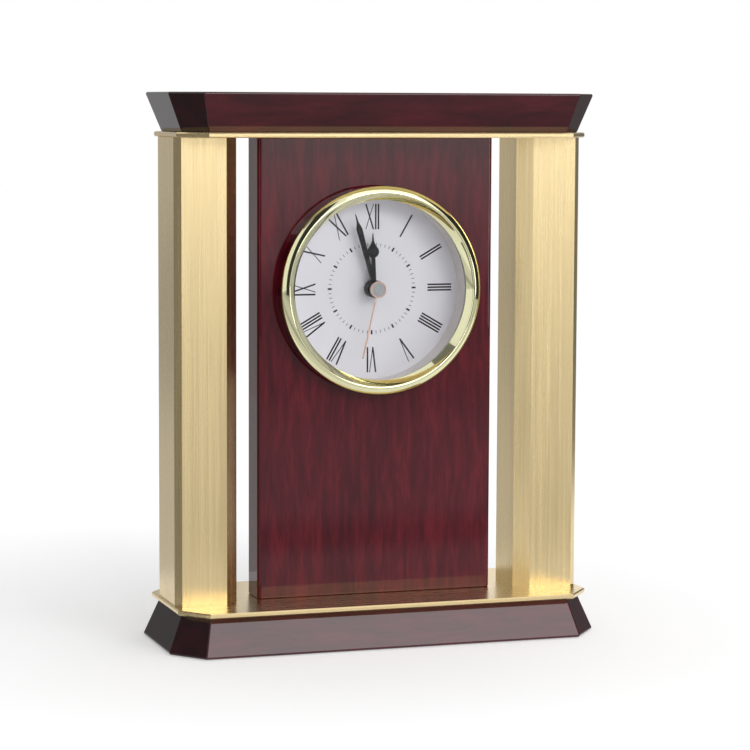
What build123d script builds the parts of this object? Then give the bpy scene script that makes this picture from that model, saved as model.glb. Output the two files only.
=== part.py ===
from build123d import *
import math
import os

os.makedirs("parts", exist_ok=True)

# A desk clock: lacquered base and crown, two brass plates, two brass columns and a wooden panel
# that holds a round quartz clock. Millimetres, X to the right, Y to the back, Z up. The origin is
# on the table, under the middle of the base.

# Fits shared by the whole clock
running_gap = 0.05
end_gap = 0.3
loose_gap = 0.3
seat_gap = 0.05
cut_overrun = 1.0

# Felt under the base
felt_thickness = 1.0
felt_proud = 0.4
felt_margin = 5.0

# Base block, wider at the table
base_height = 16.6
foot_width = 187.8
foot_depth = 75.8
foot_cut_x = 12.0
foot_cut_y = 15.0
base_neck_width = 174.6
base_neck_depth = 61.5
base_neck_cut_x = 9.2
lacquer_round = 0.8

# Crown block, wider at the top
crown_height = 16.3
crown_width = 185.6
crown_depth = 67.0
crown_cut_x = 11.6
crown_cut_y = 14.0
crown_neck_width = 172.8
crown_neck_depth = 55.0
crown_neck_cut_x = 8.8

# Brass plates between the blocks and the columns
plate_thickness = 2.1
lower_plate_width = 179.8
lower_plate_depth = 71.6
upper_plate_width = 178.2
upper_plate_depth = 63.5
plate_cut_x = 10.4
plate_cut_y = 13.0
plate_bevel = 0.5

# Columns, folded from brass sheet, with a plug in each end
column_height = 192.9
column_spacing = 150.5
column_width = 27.25
column_depth = 31.4
outer_bevel = 2.6
inner_bevel = 5.6
column_wall = 1.2
plug_height = 12.0

# Tie rods from the base to the crown, one inside each column
rod_radius = 2.5
rod_end_past_nut = 1.2
nut_width = 8.0
nut_height = 4.0
washer_radius = 6.0
washer_thickness = 1.0
pocket_radius = 7.0
pocket_depth = 8.0
insert_radius = 4.0
insert_length = 10.0

# Panel and its screws
panel_width = 103.4
panel_thickness = 16.0
panel_round = 1.8
panel_end_round = 0.6
panel_screw_radius = 2.0
panel_screw_head_radius = 4.0
panel_screw_head_height = 2.0
panel_screw_bite = 18.0
panel_screw_spacing = 64.0
panel_screw_pocket = 5.0

# Turned ring on the panel, and the bore that both of them share
clock_drop = 63.7
clock_bore_radius = 40.0
boss_radius = 43.2
boss_height = 6.4
boss_round = 0.6

# Bezel
bezel_radius = 43.6
bezel_rim_height = 1.4
bezel_ridge_radius = 40.5
bezel_ridge_height = 3.0
bezel_mouth_radius = 37.8
bezel_bulge = 0.45
bezel_lip = 0.4
skirt_thickness = 0.6
skirt_length = 4.5

# Clock can, glass, inner ring and dial
can_radius = 39.1
can_wall = 0.6
can_floor = 1.2
can_back = 11.0
glass_thickness = 1.8
dial_depth = 12.9
dial_thickness = 0.5
inner_ring_lean = 0.3
inner_ring_front_radius = 37.9
gasket_front = 3.0
gasket_width = 3.5

# Movement case
case_side = 56.0
case_corner = 3.0
case_wall = 1.2
case_depth = 15.8
front_plate_thickness = 1.0
bay_height = 15.3
bay_wall = 1.0
pillar_radius = 1.3
stake_radius = 0.7
stake_length = 2.0
case_screw_radius = 1.0
case_screw_head_radius = 2.0
case_screw_head_height = 1.0
case_screw_inset = 5.0
case_post_radius = 2.0

# Layers of the wheel train, counted from the front plate
wheel_thickness = 0.8
layer_step = 1.3
pivot_radius = 0.5
stud_radius = 0.7
stud_past_wheel = 0.15

# Tooth form
pressure_angle = math.radians(25.0)
addendum_share = 0.75
dedendum_share = 1.1
tooth_share = 0.45
flank_steps = 3

# Running train: rotor, intermediate, seconds, third and centre wheels
rotor_pinion_teeth = 12
intermediate_teeth = 60
intermediate_pinion_teeth = 10
seconds_teeth = 60
seconds_pinion_teeth = 8
third_teeth = 60
third_pinion_teeth = 8
centre_teeth = 64
rotor_module = 0.22
seconds_module = 0.30
third_module = 0.30
third_direction = math.radians(150.0)
intermediate_direction = math.radians(45.0)
rotor_direction = math.radians(45.0)

# Hand-setting train: cannon pinion, minute wheel, hour wheel and setting pinion
cannon_teeth = 12
minute_wheel_teeth = 36
minute_pinion_teeth = 10
hour_teeth = 40
setting_teeth = 12
cannon_module = 1 / 3
minute_wheel_direction = math.radians(-20.0)
setting_direction = math.radians(20.0)

# Coaxial tubes at the middle of the dial
seconds_arbor_radius = 0.45
cannon_tube_wall = 0.45
hour_tube_wall = 0.6
bushing_wall = 1.1
bushing_past_dial = 0.5
cannon_sleeve_radius = 1.2

# Rotor, stator and coil
magnet_radius = 3.0
magnet_thickness = 2.0
air_gap = 0.5
stator_thickness = 0.8
stator_left = 17.0
stator_right = 20.0
stator_low = 9.2
stator_bar_top = 16.8
stator_top = 24.0
stator_left_leg = 4.5
stator_right_leg = 7.5
stator_front = 8.6
coil_height = 21.5
coil_half_length = 12.0
coil_radius = 3.6
bobbin_radius = 4.0
bobbin_flange = 1.0
bobbin_core_radius = 2.7
core_width = 3.0
core_thickness = 0.8
stator_pillar_radius = 1.2

# Train bridge, circuit board and what is on it
bridge_front = 10.5
bridge_thickness = 0.8
bridge_width = 45.0
bridge_low = -3.0
bridge_top = 16.5
bridge_corner = 1.5
bridge_pillar_shares = ((-0.366, 0.0), (-0.348, 0.25), (0.366, 0.107))
board_thickness = 0.8
board_low = 3.0
crystal_radius = 0.7
crystal_length = 6.0
crystal_place_share = (-0.18, 0.74)
chip_radius = 2.6
chip_height = 0.9
chip_rim = 0.2
chip_place_share = (0.07, 0.44)

# Battery and its contacts
battery_radius = 7.25
battery_length = 49.2
battery_nub_radius = 2.75
battery_nub_height = 1.3
contact_thickness = 0.4
contact_width = 9.0
contact_height = 11.0
contact_leaf_reach = 2.2

# Setting knob
stem_radius = 1.0
knob_radius = 6.0
knob_thickness = 4.0
knob_gap = 0.4
knob_grooves = 20
knob_groove_radius = 0.55
knob_round = 0.4

# Hands: distances along the axis are counted forward from the dial
hub_radius = 3.7
blade_thickness = 0.4
hour_hub_start = 0.8
hour_hub_end = 3.4
hour_blade_start = 2.6
minute_hub_start = 3.6
minute_hub_end = 6.0
minute_blade_start = 4.2
seconds_hub_start = 6.4
seconds_hub_end = 8.0
seconds_ring_end = 9.1
cap_face_depth = 0.2
cap_ring_wall = 0.5
seconds_hub_radius = 3.45
hour_hand_angle = -1.4
minute_hand_angle = -15.6
seconds_hand_angle = 192.6

hour_length = 23.4
hour_root_width = 2.2
hour_stem_width = 1.6
hour_bulb_radius = 2.55
hour_bulb_distance = 15.6
hour_needle_start = 20.2
hour_needle_width = 0.8
minute_length = 32.8
minute_root_width = 1.5
minute_wide = 2.6
minute_wide_distance = 26.2
minute_needle_start = 29.2
minute_needle_width = 0.85
needle_tip_width = 0.25
seconds_length = 29.8
seconds_root_width = 0.45
seconds_tip_width = 0.7

# Heights that follow
lower_plate_z = base_height
column_foot_z = lower_plate_z + plate_thickness
upper_plate_z = column_foot_z + column_height
crown_z = upper_plate_z + plate_thickness
total_height = crown_z + crown_height
clock_height = upper_plate_z - clock_drop

# Depths that follow, from the front of the bezel to the back of the movement
panel_front = -panel_thickness / 2
boss_front = panel_front - boss_height
glass_front = boss_front + bezel_lip
glass_back = glass_front + glass_thickness
dial_front = boss_front + dial_depth
dial_back = dial_front + dial_thickness
floor_back = dial_back + can_floor
front_plate_back = floor_back + front_plate_thickness
case_back = floor_back + case_depth
first_layer = front_plate_back + end_gap

# Radii that follow
cannon_bore = seconds_arbor_radius + running_gap
cannon_radius = cannon_bore + cannon_tube_wall
hour_bore = cannon_radius + running_gap
hour_radius = hour_bore + hour_tube_wall
bushing_bore = hour_radius + running_gap
bushing_radius = bushing_bore + bushing_wall
can_bore = can_radius - can_wall

# Wheel axes that follow, in X and Z from the middle of the dial
centre_module = third_module * (seconds_pinion_teeth + third_teeth) / (third_pinion_teeth + centre_teeth)
hour_module = cannon_module * (cannon_teeth + minute_wheel_teeth) / (minute_pinion_teeth + hour_teeth)


def step_from(place, distance, direction):
    """The point at a distance and direction from another, in the plane of the dial."""
    return (
        place[0] + distance * math.cos(direction),
        place[1] + distance * math.sin(direction),
    )


def centre_distance(teeth, mate_teeth, module):
    return module * (teeth + mate_teeth) / 2


middle = (0.0, 0.0)
third_place = step_from(
    middle, centre_distance(seconds_pinion_teeth, third_teeth, third_module), third_direction
)
intermediate_place = step_from(
    middle,
    centre_distance(intermediate_pinion_teeth, seconds_teeth, seconds_module),
    intermediate_direction,
)
rotor_place = step_from(
    intermediate_place,
    centre_distance(rotor_pinion_teeth, intermediate_teeth, rotor_module),
    rotor_direction,
)
minute_wheel_place = step_from(
    middle, centre_distance(cannon_teeth, minute_wheel_teeth, cannon_module), minute_wheel_direction
)
setting_place = step_from(
    minute_wheel_place,
    centre_distance(minute_wheel_teeth, setting_teeth, cannon_module),
    setting_direction,
)


def save(name, shape):
    export_step(shape, os.path.join("parts", name + ".step"))


def save_on_axis(name, shape):
    """Saves a piece drawn about the middle of the dial."""
    save(name, Pos(0, 0, clock_height) * shape)


def bar_z(radius, low, high, x=0, y=0):
    """An upright round bar."""
    return Pos(x, y, low) * extrude(Circle(radius), high - low)


def face_bar(face, front, back, place=middle):
    """A flat outline, drawn as seen from the front, carried through from one depth to another."""
    return Pos(place[0], back, place[1]) * extrude(Plane.XZ * face, back - front)


def bar_y(radius, front, back, place=middle):
    """A round bar along the clock's axis."""
    return face_bar(Circle(radius), front, back, place)


def ring_y(outer, inner, front, back, place=middle):
    return face_bar(Circle(outer) - Circle(inner), front, back, place)


def turned(points):
    """A ring turned about the clock's axis, from its section in radius and depth."""
    return revolve(make_face(Polyline(*points, close=True)), Axis.Y)


def box_between(left, right, front, back, low, high):
    size_x, size_y, size_z = right - left, back - front, high - low
    return Pos(left + size_x / 2, front + size_y / 2, low + size_z / 2) * Box(size_x, size_y, size_z)


# Wooden blocks, plates and felt


def cut_rectangle(width, depth, cut_x, cut_y):
    """A rectangle with its four corners cut off."""
    right, back = width / 2, depth / 2
    quarter = [(right, back - cut_y), (right - cut_x, back)]
    left_quarter = [(-x, y) for x, y in reversed(quarter)]
    back_half = quarter + left_quarter
    front_half = [(-x, -y) for x, y in back_half]
    return make_face(Polyline(*back_half, *front_half, close=True))


def tapered_block(lower, upper, low, high):
    """A block between two outlines, with its edges rounded as lacquer leaves them."""
    block = loft([Pos(0, 0, low) * lower, Pos(0, 0, high) * upper], ruled=True)
    return fillet(block.edges(), lacquer_round)


def rod_centres():
    return [(-column_spacing / 2, 0), (column_spacing / 2, 0)]


def panel_screw_centres():
    return [(-panel_screw_spacing / 2, 0), (panel_screw_spacing / 2, 0)]


def holes_z(radius, low, high, centres):
    """Upright holes, which run past both faces that they pierce."""
    holes = Part()
    for x, y in centres:
        holes += bar_z(radius, low, high, x, y)
    return holes


rod_hole_radius = rod_radius + loose_gap
screw_hole_radius = panel_screw_radius + loose_gap
nut_seat_z = felt_thickness + pocket_depth
screw_seat_z = felt_thickness + panel_screw_pocket


def base_block():
    neck_cut_y = base_neck_cut_x * foot_cut_y / foot_cut_x
    foot = cut_rectangle(foot_width, foot_depth, foot_cut_x, foot_cut_y)
    neck = cut_rectangle(base_neck_width, base_neck_depth, base_neck_cut_x, neck_cut_y)
    block = tapered_block(foot, neck, felt_proud, base_height)
    under = felt_proud - cut_overrun
    over = base_height + cut_overrun
    block -= Pos(0, 0, under) * extrude(felt_outline(), felt_thickness - under)
    block -= holes_z(pocket_radius, under, nut_seat_z, rod_centres())
    block -= holes_z(rod_hole_radius, under, over, rod_centres())
    block -= holes_z(panel_screw_head_radius + loose_gap, under, screw_seat_z, panel_screw_centres())
    block -= holes_z(screw_hole_radius, under, over, panel_screw_centres())
    return block


def felt_outline():
    return cut_rectangle(
        foot_width - 2 * felt_margin, foot_depth - 2 * felt_margin, foot_cut_x, foot_cut_y
    )


def felt_pad():
    return extrude(felt_outline(), felt_thickness)


def crown_block():
    neck_cut_y = crown_neck_cut_x * crown_cut_y / crown_cut_x
    neck = cut_rectangle(crown_neck_width, crown_neck_depth, crown_neck_cut_x, neck_cut_y)
    top = cut_rectangle(crown_width, crown_depth, crown_cut_x, crown_cut_y)
    block = tapered_block(neck, top, crown_z, total_height)
    return block - holes_z(insert_radius, crown_z - cut_overrun, crown_z + insert_length, rod_centres())


def plate(width, depth, low):
    outline = cut_rectangle(width, depth, plate_cut_x, plate_cut_y)
    sheet = Pos(0, 0, low) * extrude(outline, plate_thickness)
    sheet = chamfer(sheet.faces().sort_by(Axis.Z)[0].edges(), plate_bevel)
    sheet = chamfer(sheet.faces().sort_by(Axis.Z)[-1].edges(), plate_bevel)
    low_end, high_end = low - cut_overrun, low + plate_thickness + cut_overrun
    sheet -= holes_z(rod_hole_radius, low_end, high_end, rod_centres())
    return sheet - holes_z(screw_hole_radius, low_end, high_end, panel_screw_centres())


def lower_plate():
    return plate(lower_plate_width, lower_plate_depth, lower_plate_z)


def upper_plate():
    """The plate under the crown, with sunk seats for the panel's upper screws."""
    sheet = plate(upper_plate_width, upper_plate_depth, upper_plate_z)
    for x, y in panel_screw_centres():
        sheet -= screw_head(x, y, crown_z, seat_gap)
    return sheet


# Columns, plugs and tie rods


def column_outline(side):
    """A column's plan, with wide bevels towards the panel and narrow ones outside."""
    inside, outside = -column_width / 2, column_width / 2
    back = column_depth / 2
    back_half = [
        (outside, back - outer_bevel),
        (outside - outer_bevel, back),
        (inside + inner_bevel, back),
        (inside, back - inner_bevel),
    ]
    points = back_half + [(x, -y) for x, y in reversed(back_half)]
    return make_face(Polyline(*[(side * x, y) for x, y in points], close=True))


def column_inside(side, gap=0):
    return offset(column_outline(side), -column_wall - gap, kind=Kind.INTERSECTION)


def column(side):
    tube = extrude(column_outline(side) - column_inside(side), column_height)
    return Pos(side * column_spacing / 2, 0, column_foot_z) * tube


def column_plugs():
    plugs = Part()
    for side in (-1, 1):
        bored = column_inside(side, seat_gap) - Circle(rod_hole_radius)
        for low in (column_foot_z, upper_plate_z - plug_height):
            plugs += Pos(side * column_spacing / 2, 0, low) * extrude(bored, plug_height)
    return plugs


def tie_rods():
    low = nut_seat_z - washer_thickness - nut_height - rod_end_past_nut
    rods = Part()
    for x, y in rod_centres():
        rods += bar_z(rod_radius, low, crown_z + insert_length - rod_end_past_nut, x, y)
    return rods


def tie_rod_nuts():
    top = nut_seat_z - washer_thickness
    nut = extrude(RegularPolygon(nut_width / 2, 6, major_radius=False) - Circle(rod_radius), nut_height)
    return Part() + [Pos(x, y, top - nut_height) * nut for x, y in rod_centres()]


def tie_rod_washers():
    washer = extrude(Circle(washer_radius) - Circle(rod_hole_radius), washer_thickness)
    return Part() + [Pos(x, y, nut_seat_z - washer_thickness) * washer for x, y in rod_centres()]


def crown_inserts():
    """Threaded sleeves in the crown that the rods screw into."""
    sleeve = extrude(Circle(insert_radius) - Circle(rod_radius), insert_length)
    return Part() + [Pos(x, y, crown_z) * sleeve for x, y in rod_centres()]


# Panel, its screws and the turned ring


def screw_head(x, y, top, gap=0):
    """A sunk head, drawn with its flat face up."""
    cone = Cone(
        panel_screw_radius + gap,
        panel_screw_head_radius + gap,
        panel_screw_head_height,
        align=(Align.CENTER, Align.CENTER, Align.MAX),
    )
    return Pos(x, y, top) * cone


def panel_screws_upper():
    screws = Part()
    for x, y in panel_screw_centres():
        shank = bar_z(panel_screw_radius, upper_plate_z - panel_screw_bite, crown_z, x, y)
        screws += shank + screw_head(x, y, crown_z)
    return screws


def panel_screws_lower():
    """Flat-headed screws that come up through the base."""
    screws = Part()
    for x, y in panel_screw_centres():
        head = bar_z(panel_screw_head_radius, screw_seat_z - panel_screw_head_height, screw_seat_z, x, y)
        screws += head + bar_z(panel_screw_radius, screw_seat_z, column_foot_z + panel_screw_bite, x, y)
    return screws


def front_panel():
    block = Pos(0, 0, column_foot_z) * extrude(Rectangle(panel_width, panel_thickness), column_height)
    block = fillet(block.edges().filter_by(Axis.Z), panel_round)
    for end in (0, -1):
        block = fillet(block.faces().sort_by(Axis.Z)[end].edges(), panel_end_round)
    bore = bar_y(clock_bore_radius, panel_front - cut_overrun, -panel_front + cut_overrun)
    block -= Pos(0, 0, clock_height) * bore
    pilot = panel_screw_radius + seat_gap
    reach = panel_screw_bite + cut_overrun
    block -= holes_z(pilot, column_foot_z - cut_overrun, column_foot_z + reach, panel_screw_centres())
    block -= holes_z(pilot, upper_plate_z - reach, upper_plate_z + cut_overrun, panel_screw_centres())
    return block


def dial_boss():
    ring = ring_y(boss_radius, clock_bore_radius, boss_front, panel_front)
    outer_front_edge = ring.edges().filter_by(GeomType.CIRCLE).sort_by(Axis.Y)[:2].sort_by(SortBy.RADIUS)[-1]
    return fillet(outer_front_edge, boss_round)


# Bezel, glass, can and dial


def bezel():
    """A turned ring with a rounded outer slope, a ridge, a hollow inner slope and a skirt."""
    rim_front = boss_front - bezel_rim_height
    ridge_front = boss_front - bezel_ridge_height
    skirt_outer = can_radius + skirt_thickness
    rim = (bezel_radius, rim_front)
    ridge = (bezel_ridge_radius, ridge_front)
    mouth = (bezel_mouth_radius, boss_front)
    outer_middle = ((rim[0] + ridge[0]) / 2 + bezel_bulge, (rim[1] + ridge[1]) / 2 - bezel_bulge)
    inner_middle = ((mouth[0] + ridge[0]) / 2 + bezel_bulge, (mouth[1] + ridge[1]) / 2 - bezel_bulge)
    section = [
        Line((bezel_radius, boss_front), rim),
        ThreePointArc(rim, outer_middle, ridge),
        ThreePointArc(ridge, inner_middle, mouth),
        Polyline(
            mouth,
            (bezel_mouth_radius, glass_front),
            (can_radius, glass_front),
            (can_radius, boss_front + skirt_length),
            (skirt_outer, boss_front + skirt_length),
            (skirt_outer, boss_front),
            (bezel_radius, boss_front),
        ),
    ]
    return revolve(make_face(section), Axis.Y)


def glass_lens():
    return bar_y(can_radius - seat_gap, glass_front, glass_back)


def clock_can():
    """The metal can behind the bezel, with a floor that carries the dial and the movement."""
    can = ring_y(can_radius, can_bore, glass_back, can_back)
    can += ring_y(can_bore, bushing_radius + running_gap, dial_back, floor_back)
    for place in case_screw_places():
        can -= bar_y(case_screw_radius + seat_gap, dial_back - cut_overrun, floor_back + cut_overrun, place)
    return can


def inner_ring():
    """The pale ring between the glass and the dial, a little wider at the dial."""
    outside = can_bore - seat_gap
    return turned(
        [
            (inner_ring_front_radius, glass_back),
            (outside, glass_back),
            (outside, dial_front),
            (inner_ring_front_radius + inner_ring_lean, dial_front),
        ]
    )


def dial_plate():
    return ring_y(can_bore - seat_gap, bushing_radius + running_gap, dial_front, dial_back)


def gasket():
    """The rubber band that grips the bore of the panel."""
    return ring_y(clock_bore_radius, can_radius, gasket_front, gasket_front + gasket_width)


# Movement case and its plates

case_inside = case_side / 2 - case_wall
bay_low = -case_inside
bay_top = bay_low + bay_height
train_low = bay_top + bay_wall
train_height = case_inside - train_low
train_back = case_back - case_wall


def case_screw_places():
    x = z = case_side / 2 - case_screw_inset
    return [(-x, z), (x, z)]


def bridge_pillar_places():
    """The pillars, in X and Z from the middle of the dial, as shares of the case's side."""
    return [(case_side * across, case_side * up) for across, up in bridge_pillar_shares]


def stator_pillar_places():
    """One pillar under each leg of the stator, between its bar and the coil's core."""
    z = (stator_bar_top + coil_height - core_width / 2) / 2
    return [(-stator_left + stator_left_leg / 2, z), (stator_right - stator_right_leg / 2, z)]


def case_outline():
    return RectangleRounded(case_side, case_side, case_corner)


def movement_front_plate():
    """The plate behind the dial, with the bushing and the pillars that carry what is above it."""
    plate_body = face_bar(case_outline(), floor_back, front_plate_back)
    plate_body += bar_y(bushing_radius, dial_front - bushing_past_dial, front_plate_back)
    for place in bridge_pillar_places():
        plate_body += bar_y(pillar_radius, floor_back, bridge_face, place)
        plate_body += bar_y(stake_radius, floor_back, bridge_face + stake_length, place)
    for place in stator_pillar_places():
        plate_body += bar_y(stator_pillar_radius, floor_back, stator_face, place)
    front_end = dial_front - bushing_past_dial - cut_overrun
    plate_body -= bar_y(bushing_bore, front_end, front_plate_back + cut_overrun)
    for place in (third_place, intermediate_place, rotor_place, setting_place):
        plate_body -= bar_y(pivot_radius + running_gap, floor_back - cut_overrun, first_layer, place)
    stud_back = layer(cannon_layer)[1] + stud_past_wheel
    plate_body += bar_y(stud_radius, floor_back, stud_back, minute_wheel_place)
    for place in case_screw_places():
        plate_body -= bar_y(
            case_screw_radius + seat_gap, floor_back - cut_overrun, first_layer, place
        )
    return plate_body


def movement_cover():
    """The black box behind the front plate, with a battery bay that is open at the back."""
    cover = face_bar(case_outline(), front_plate_back, case_back)
    inner_corner = case_corner - case_wall
    room_middle = (train_low + case_inside) / 2
    room = RectangleRounded(2 * case_inside, train_height, inner_corner)
    cover -= face_bar(room, front_plate_back - cut_overrun, train_back, (0, room_middle))
    bay_middle = (bay_low + bay_top) / 2
    bay = RectangleRounded(2 * case_inside, bay_height, inner_corner)
    cover -= face_bar(bay, front_plate_back - cut_overrun, case_back + cut_overrun, (0, bay_middle))
    for place in case_screw_places():
        cover += bar_y(case_post_radius, front_plate_back, case_back, place)
        cover -= bar_y(
            case_screw_radius + seat_gap, front_plate_back - cut_overrun, case_back + cut_overrun, place
        )
    stem_hole = stem_radius + running_gap
    return cover - bar_y(stem_hole, train_back - cut_overrun, case_back + cut_overrun, setting_place)


def movement_screws():
    screws = Part()
    for place in case_screw_places():
        screw = bar_y(case_screw_radius, dial_back + seat_gap, case_back, place)
        screws += screw + bar_y(case_screw_head_radius, case_back, case_back + case_screw_head_height, place)
    return screws


# Wheels


def involute(angle):
    return math.tan(angle) - angle


def gear_outline(teeth, module, phase):
    """An involute wheel's outline, with one tooth centred at the phase angle."""
    pitch_radius = module * teeth / 2
    base_radius = pitch_radius * math.cos(pressure_angle)
    tip = pitch_radius + addendum_share * module
    root = pitch_radius - dedendum_share * module
    start = max(base_radius, root)
    flank = [(root, start)] if root < base_radius else []
    for step in range(flank_steps + 1):
        radius = start + (tip - start) * step / flank_steps
        flank.append((radius, radius))
    half_angles = [
        tooth_share * math.pi / teeth
        + involute(pressure_angle)
        - involute(math.acos(min(1, base_radius / reference)))
        for radius, reference in flank
    ]
    points = []
    for tooth in range(teeth):
        tooth_angle = phase + 2 * math.pi * tooth / teeth
        rising = [(radius, tooth_angle - half) for (radius, reference), half in zip(flank, half_angles)]
        falling = [(radius, tooth_angle + half) for (radius, reference), half in zip(flank, half_angles)]
        for radius, angle in rising + falling[::-1]:
            points.append((radius * math.cos(angle), radius * math.sin(angle)))
    return make_face(Polyline(*points, close=True))


def meshing_phase(phase, teeth, mate_teeth, direction):
    """The phase of a mate that lies in a direction, so that its gaps face the teeth."""
    return direction + math.pi + math.pi / mate_teeth - (phase - direction) * teeth / mate_teeth


def layer(number):
    """The front and back of a wheel layer."""
    front = first_layer + number * layer_step
    return front, front + wheel_thickness


def wheel(teeth, module, phase, number, place=middle):
    front, back = layer(number)
    return face_bar(gear_outline(teeth, module, phase), front, back, place)


def pinion(teeth, module, phase, number, back, place=middle):
    """A pinion that fills its layer and runs back to the wheel that it is moulded with."""
    return face_bar(gear_outline(teeth, module, phase), layer(number)[0] - seat_gap, back, place)


hour_layer, cannon_layer, centre_layer, third_layer, seconds_layer, rotor_layer = range(6)
bridge_face = front_plate_back + bridge_front
bridge_back = bridge_face + bridge_thickness
stator_face = front_plate_back + stator_front
magnet_front = stator_face + stator_thickness / 2 - magnet_thickness / 2

seconds_pinion_phase = 0.0
third_wheel_phase = meshing_phase(seconds_pinion_phase, seconds_pinion_teeth, third_teeth, third_direction)
centre_phase = 0.0
third_pinion_phase = meshing_phase(centre_phase, centre_teeth, third_pinion_teeth, third_direction)
seconds_phase = 0.0
intermediate_pinion_phase = meshing_phase(
    seconds_phase, seconds_teeth, intermediate_pinion_teeth, intermediate_direction
)
intermediate_phase = 0.0
rotor_phase = meshing_phase(intermediate_phase, intermediate_teeth, rotor_pinion_teeth, rotor_direction)
cannon_phase = 0.0
minute_wheel_phase = meshing_phase(cannon_phase, cannon_teeth, minute_wheel_teeth, minute_wheel_direction)
setting_phase = meshing_phase(minute_wheel_phase, minute_wheel_teeth, setting_teeth, setting_direction)
hour_phase = 0.0
minute_pinion_phase = meshing_phase(hour_phase, hour_teeth, minute_pinion_teeth, minute_wheel_direction)


def pivots(place):
    """An arbor between the front plate and the bridge."""
    return bar_y(pivot_radius, floor_back + seat_gap, bridge_back - seat_gap, place)


def third_wheel():
    body = wheel(third_teeth, third_module, third_wheel_phase, third_layer, third_place)
    body += pinion(
        third_pinion_teeth,
        centre_module,
        third_pinion_phase,
        centre_layer,
        layer(third_layer)[0],
        third_place,
    )
    return body + pivots(third_place)


def intermediate_wheel():
    body = wheel(intermediate_teeth, rotor_module, intermediate_phase, rotor_layer, intermediate_place)
    body += pinion(
        intermediate_pinion_teeth,
        seconds_module,
        intermediate_pinion_phase,
        seconds_layer,
        layer(rotor_layer)[0],
        intermediate_place,
    )
    return body + pivots(intermediate_place)


def rotor_pinion():
    body = pinion(
        rotor_pinion_teeth, rotor_module, rotor_phase, rotor_layer, magnet_front, rotor_place
    )
    return body + pivots(rotor_place)


def rotor_magnet():
    return ring_y(magnet_radius, pivot_radius, magnet_front, magnet_front + magnet_thickness, rotor_place)


def seconds_wheel():
    body = wheel(seconds_teeth, seconds_module, seconds_phase, seconds_layer)
    body += pinion(
        seconds_pinion_teeth,
        third_module,
        seconds_pinion_phase,
        third_layer,
        layer(seconds_layer)[0],
    )
    body_front, body_back = layer(third_layer)[0] - cut_overrun, layer(seconds_layer)[1] + cut_overrun
    return body - bar_y(seconds_arbor_radius, body_front, body_back)


def seconds_arbor():
    return bar_y(seconds_arbor_radius, dial_front - seconds_hub_end, bridge_back - seat_gap)


def centre_wheel():
    front, back = layer(centre_layer)
    body = wheel(centre_teeth, centre_module, centre_phase, centre_layer)
    return body - bar_y(cannon_sleeve_radius + running_gap, front - cut_overrun, back + cut_overrun)


def cannon_pinion():
    """The minute hand's tube, with its pinion and the sleeve that the centre wheel grips."""
    front, back = layer(cannon_layer)
    body = wheel(cannon_teeth, cannon_module, cannon_phase, cannon_layer)
    body += bar_y(cannon_sleeve_radius, front, layer(centre_layer)[1] + seat_gap)
    tube_front = dial_front - minute_hub_end
    body += bar_y(cannon_radius, tube_front, back)
    return body - bar_y(cannon_bore, tube_front - cut_overrun, layer(third_layer)[0])


def minute_wheel():
    """The wheel that turns freely on the front plate's stud."""
    place = minute_wheel_place
    body = wheel(minute_wheel_teeth, cannon_module, minute_wheel_phase, cannon_layer, place)
    body += pinion(
        minute_pinion_teeth, hour_module, minute_pinion_phase, hour_layer, layer(cannon_layer)[0], place
    )
    front, back = front_plate_back, layer(cannon_layer)[1] + cut_overrun
    return body - bar_y(stud_radius + running_gap, front, back, place)


def hour_wheel():
    """The hour hand's tube, with its wheel."""
    front, back = layer(hour_layer)
    tube_front = dial_front - hour_hub_end
    body = wheel(hour_teeth, hour_module, hour_phase, hour_layer) + bar_y(hour_radius, tube_front, back)
    return body - bar_y(hour_bore, tube_front - cut_overrun, back + cut_overrun)


def setting_pinion():
    """The pinion and stem that turn the minute wheel from the back."""
    place = setting_place
    body = wheel(setting_teeth, cannon_module, setting_phase, cannon_layer, place)
    body += bar_y(pivot_radius, floor_back + seat_gap, layer(cannon_layer)[0], place)
    return body + bar_y(stem_radius, layer(cannon_layer)[0], case_back + knob_gap + knob_thickness / 2, place)


def setting_knob():
    front = case_back + knob_gap
    back = front + knob_thickness
    outline = Circle(knob_radius)
    for number in range(knob_grooves):
        angle = 360 * number / knob_grooves
        outline -= Rot(0, 0, angle) * Pos(knob_radius, 0) * Circle(knob_groove_radius)
    body = face_bar(outline, front, back, setting_place)
    body = chamfer(body.faces().sort_by(Axis.Y)[-1].edges(), knob_round)
    return body - bar_y(stem_radius, front - cut_overrun, front + knob_thickness / 2, setting_place)


# Motor


def stator():
    outline = Pos((stator_right - stator_left) / 2, (stator_low + stator_bar_top) / 2) * Rectangle(
        stator_right + stator_left, stator_bar_top - stator_low
    )
    leg_height = stator_top - stator_low
    for side_x, leg in (
        (-stator_left + stator_left_leg / 2, stator_left_leg),
        (stator_right - stator_right_leg / 2, stator_right_leg),
    ):
        outline += Pos(side_x, stator_low + leg_height / 2) * Rectangle(leg, leg_height)
    outline -= Pos(*rotor_place) * Circle(magnet_radius + air_gap)
    return face_bar(outline, stator_face, stator_face + stator_thickness)


def coil_core():
    """The flat iron strip through the coil, lying on both legs of the stator."""
    return box_between(
        -stator_left,
        stator_right,
        stator_face - core_thickness,
        stator_face,
        coil_height - core_width / 2,
        coil_height + core_width / 2,
    )


coil_depth = stator_face - core_thickness / 2


def coil_bar(radius, left, right):
    """A round bar along the coil."""
    return Pos(left, coil_depth, coil_height) * extrude(Plane.YZ * Circle(radius), right - left)


def core_slot():
    """The slot in the bobbin that the core slides into."""
    reach = coil_half_length + cut_overrun
    return box_between(
        -reach,
        reach,
        stator_face - core_thickness - seat_gap,
        stator_face + seat_gap,
        coil_height - core_width / 2 - seat_gap,
        coil_height + core_width / 2 + seat_gap,
    )


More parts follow.
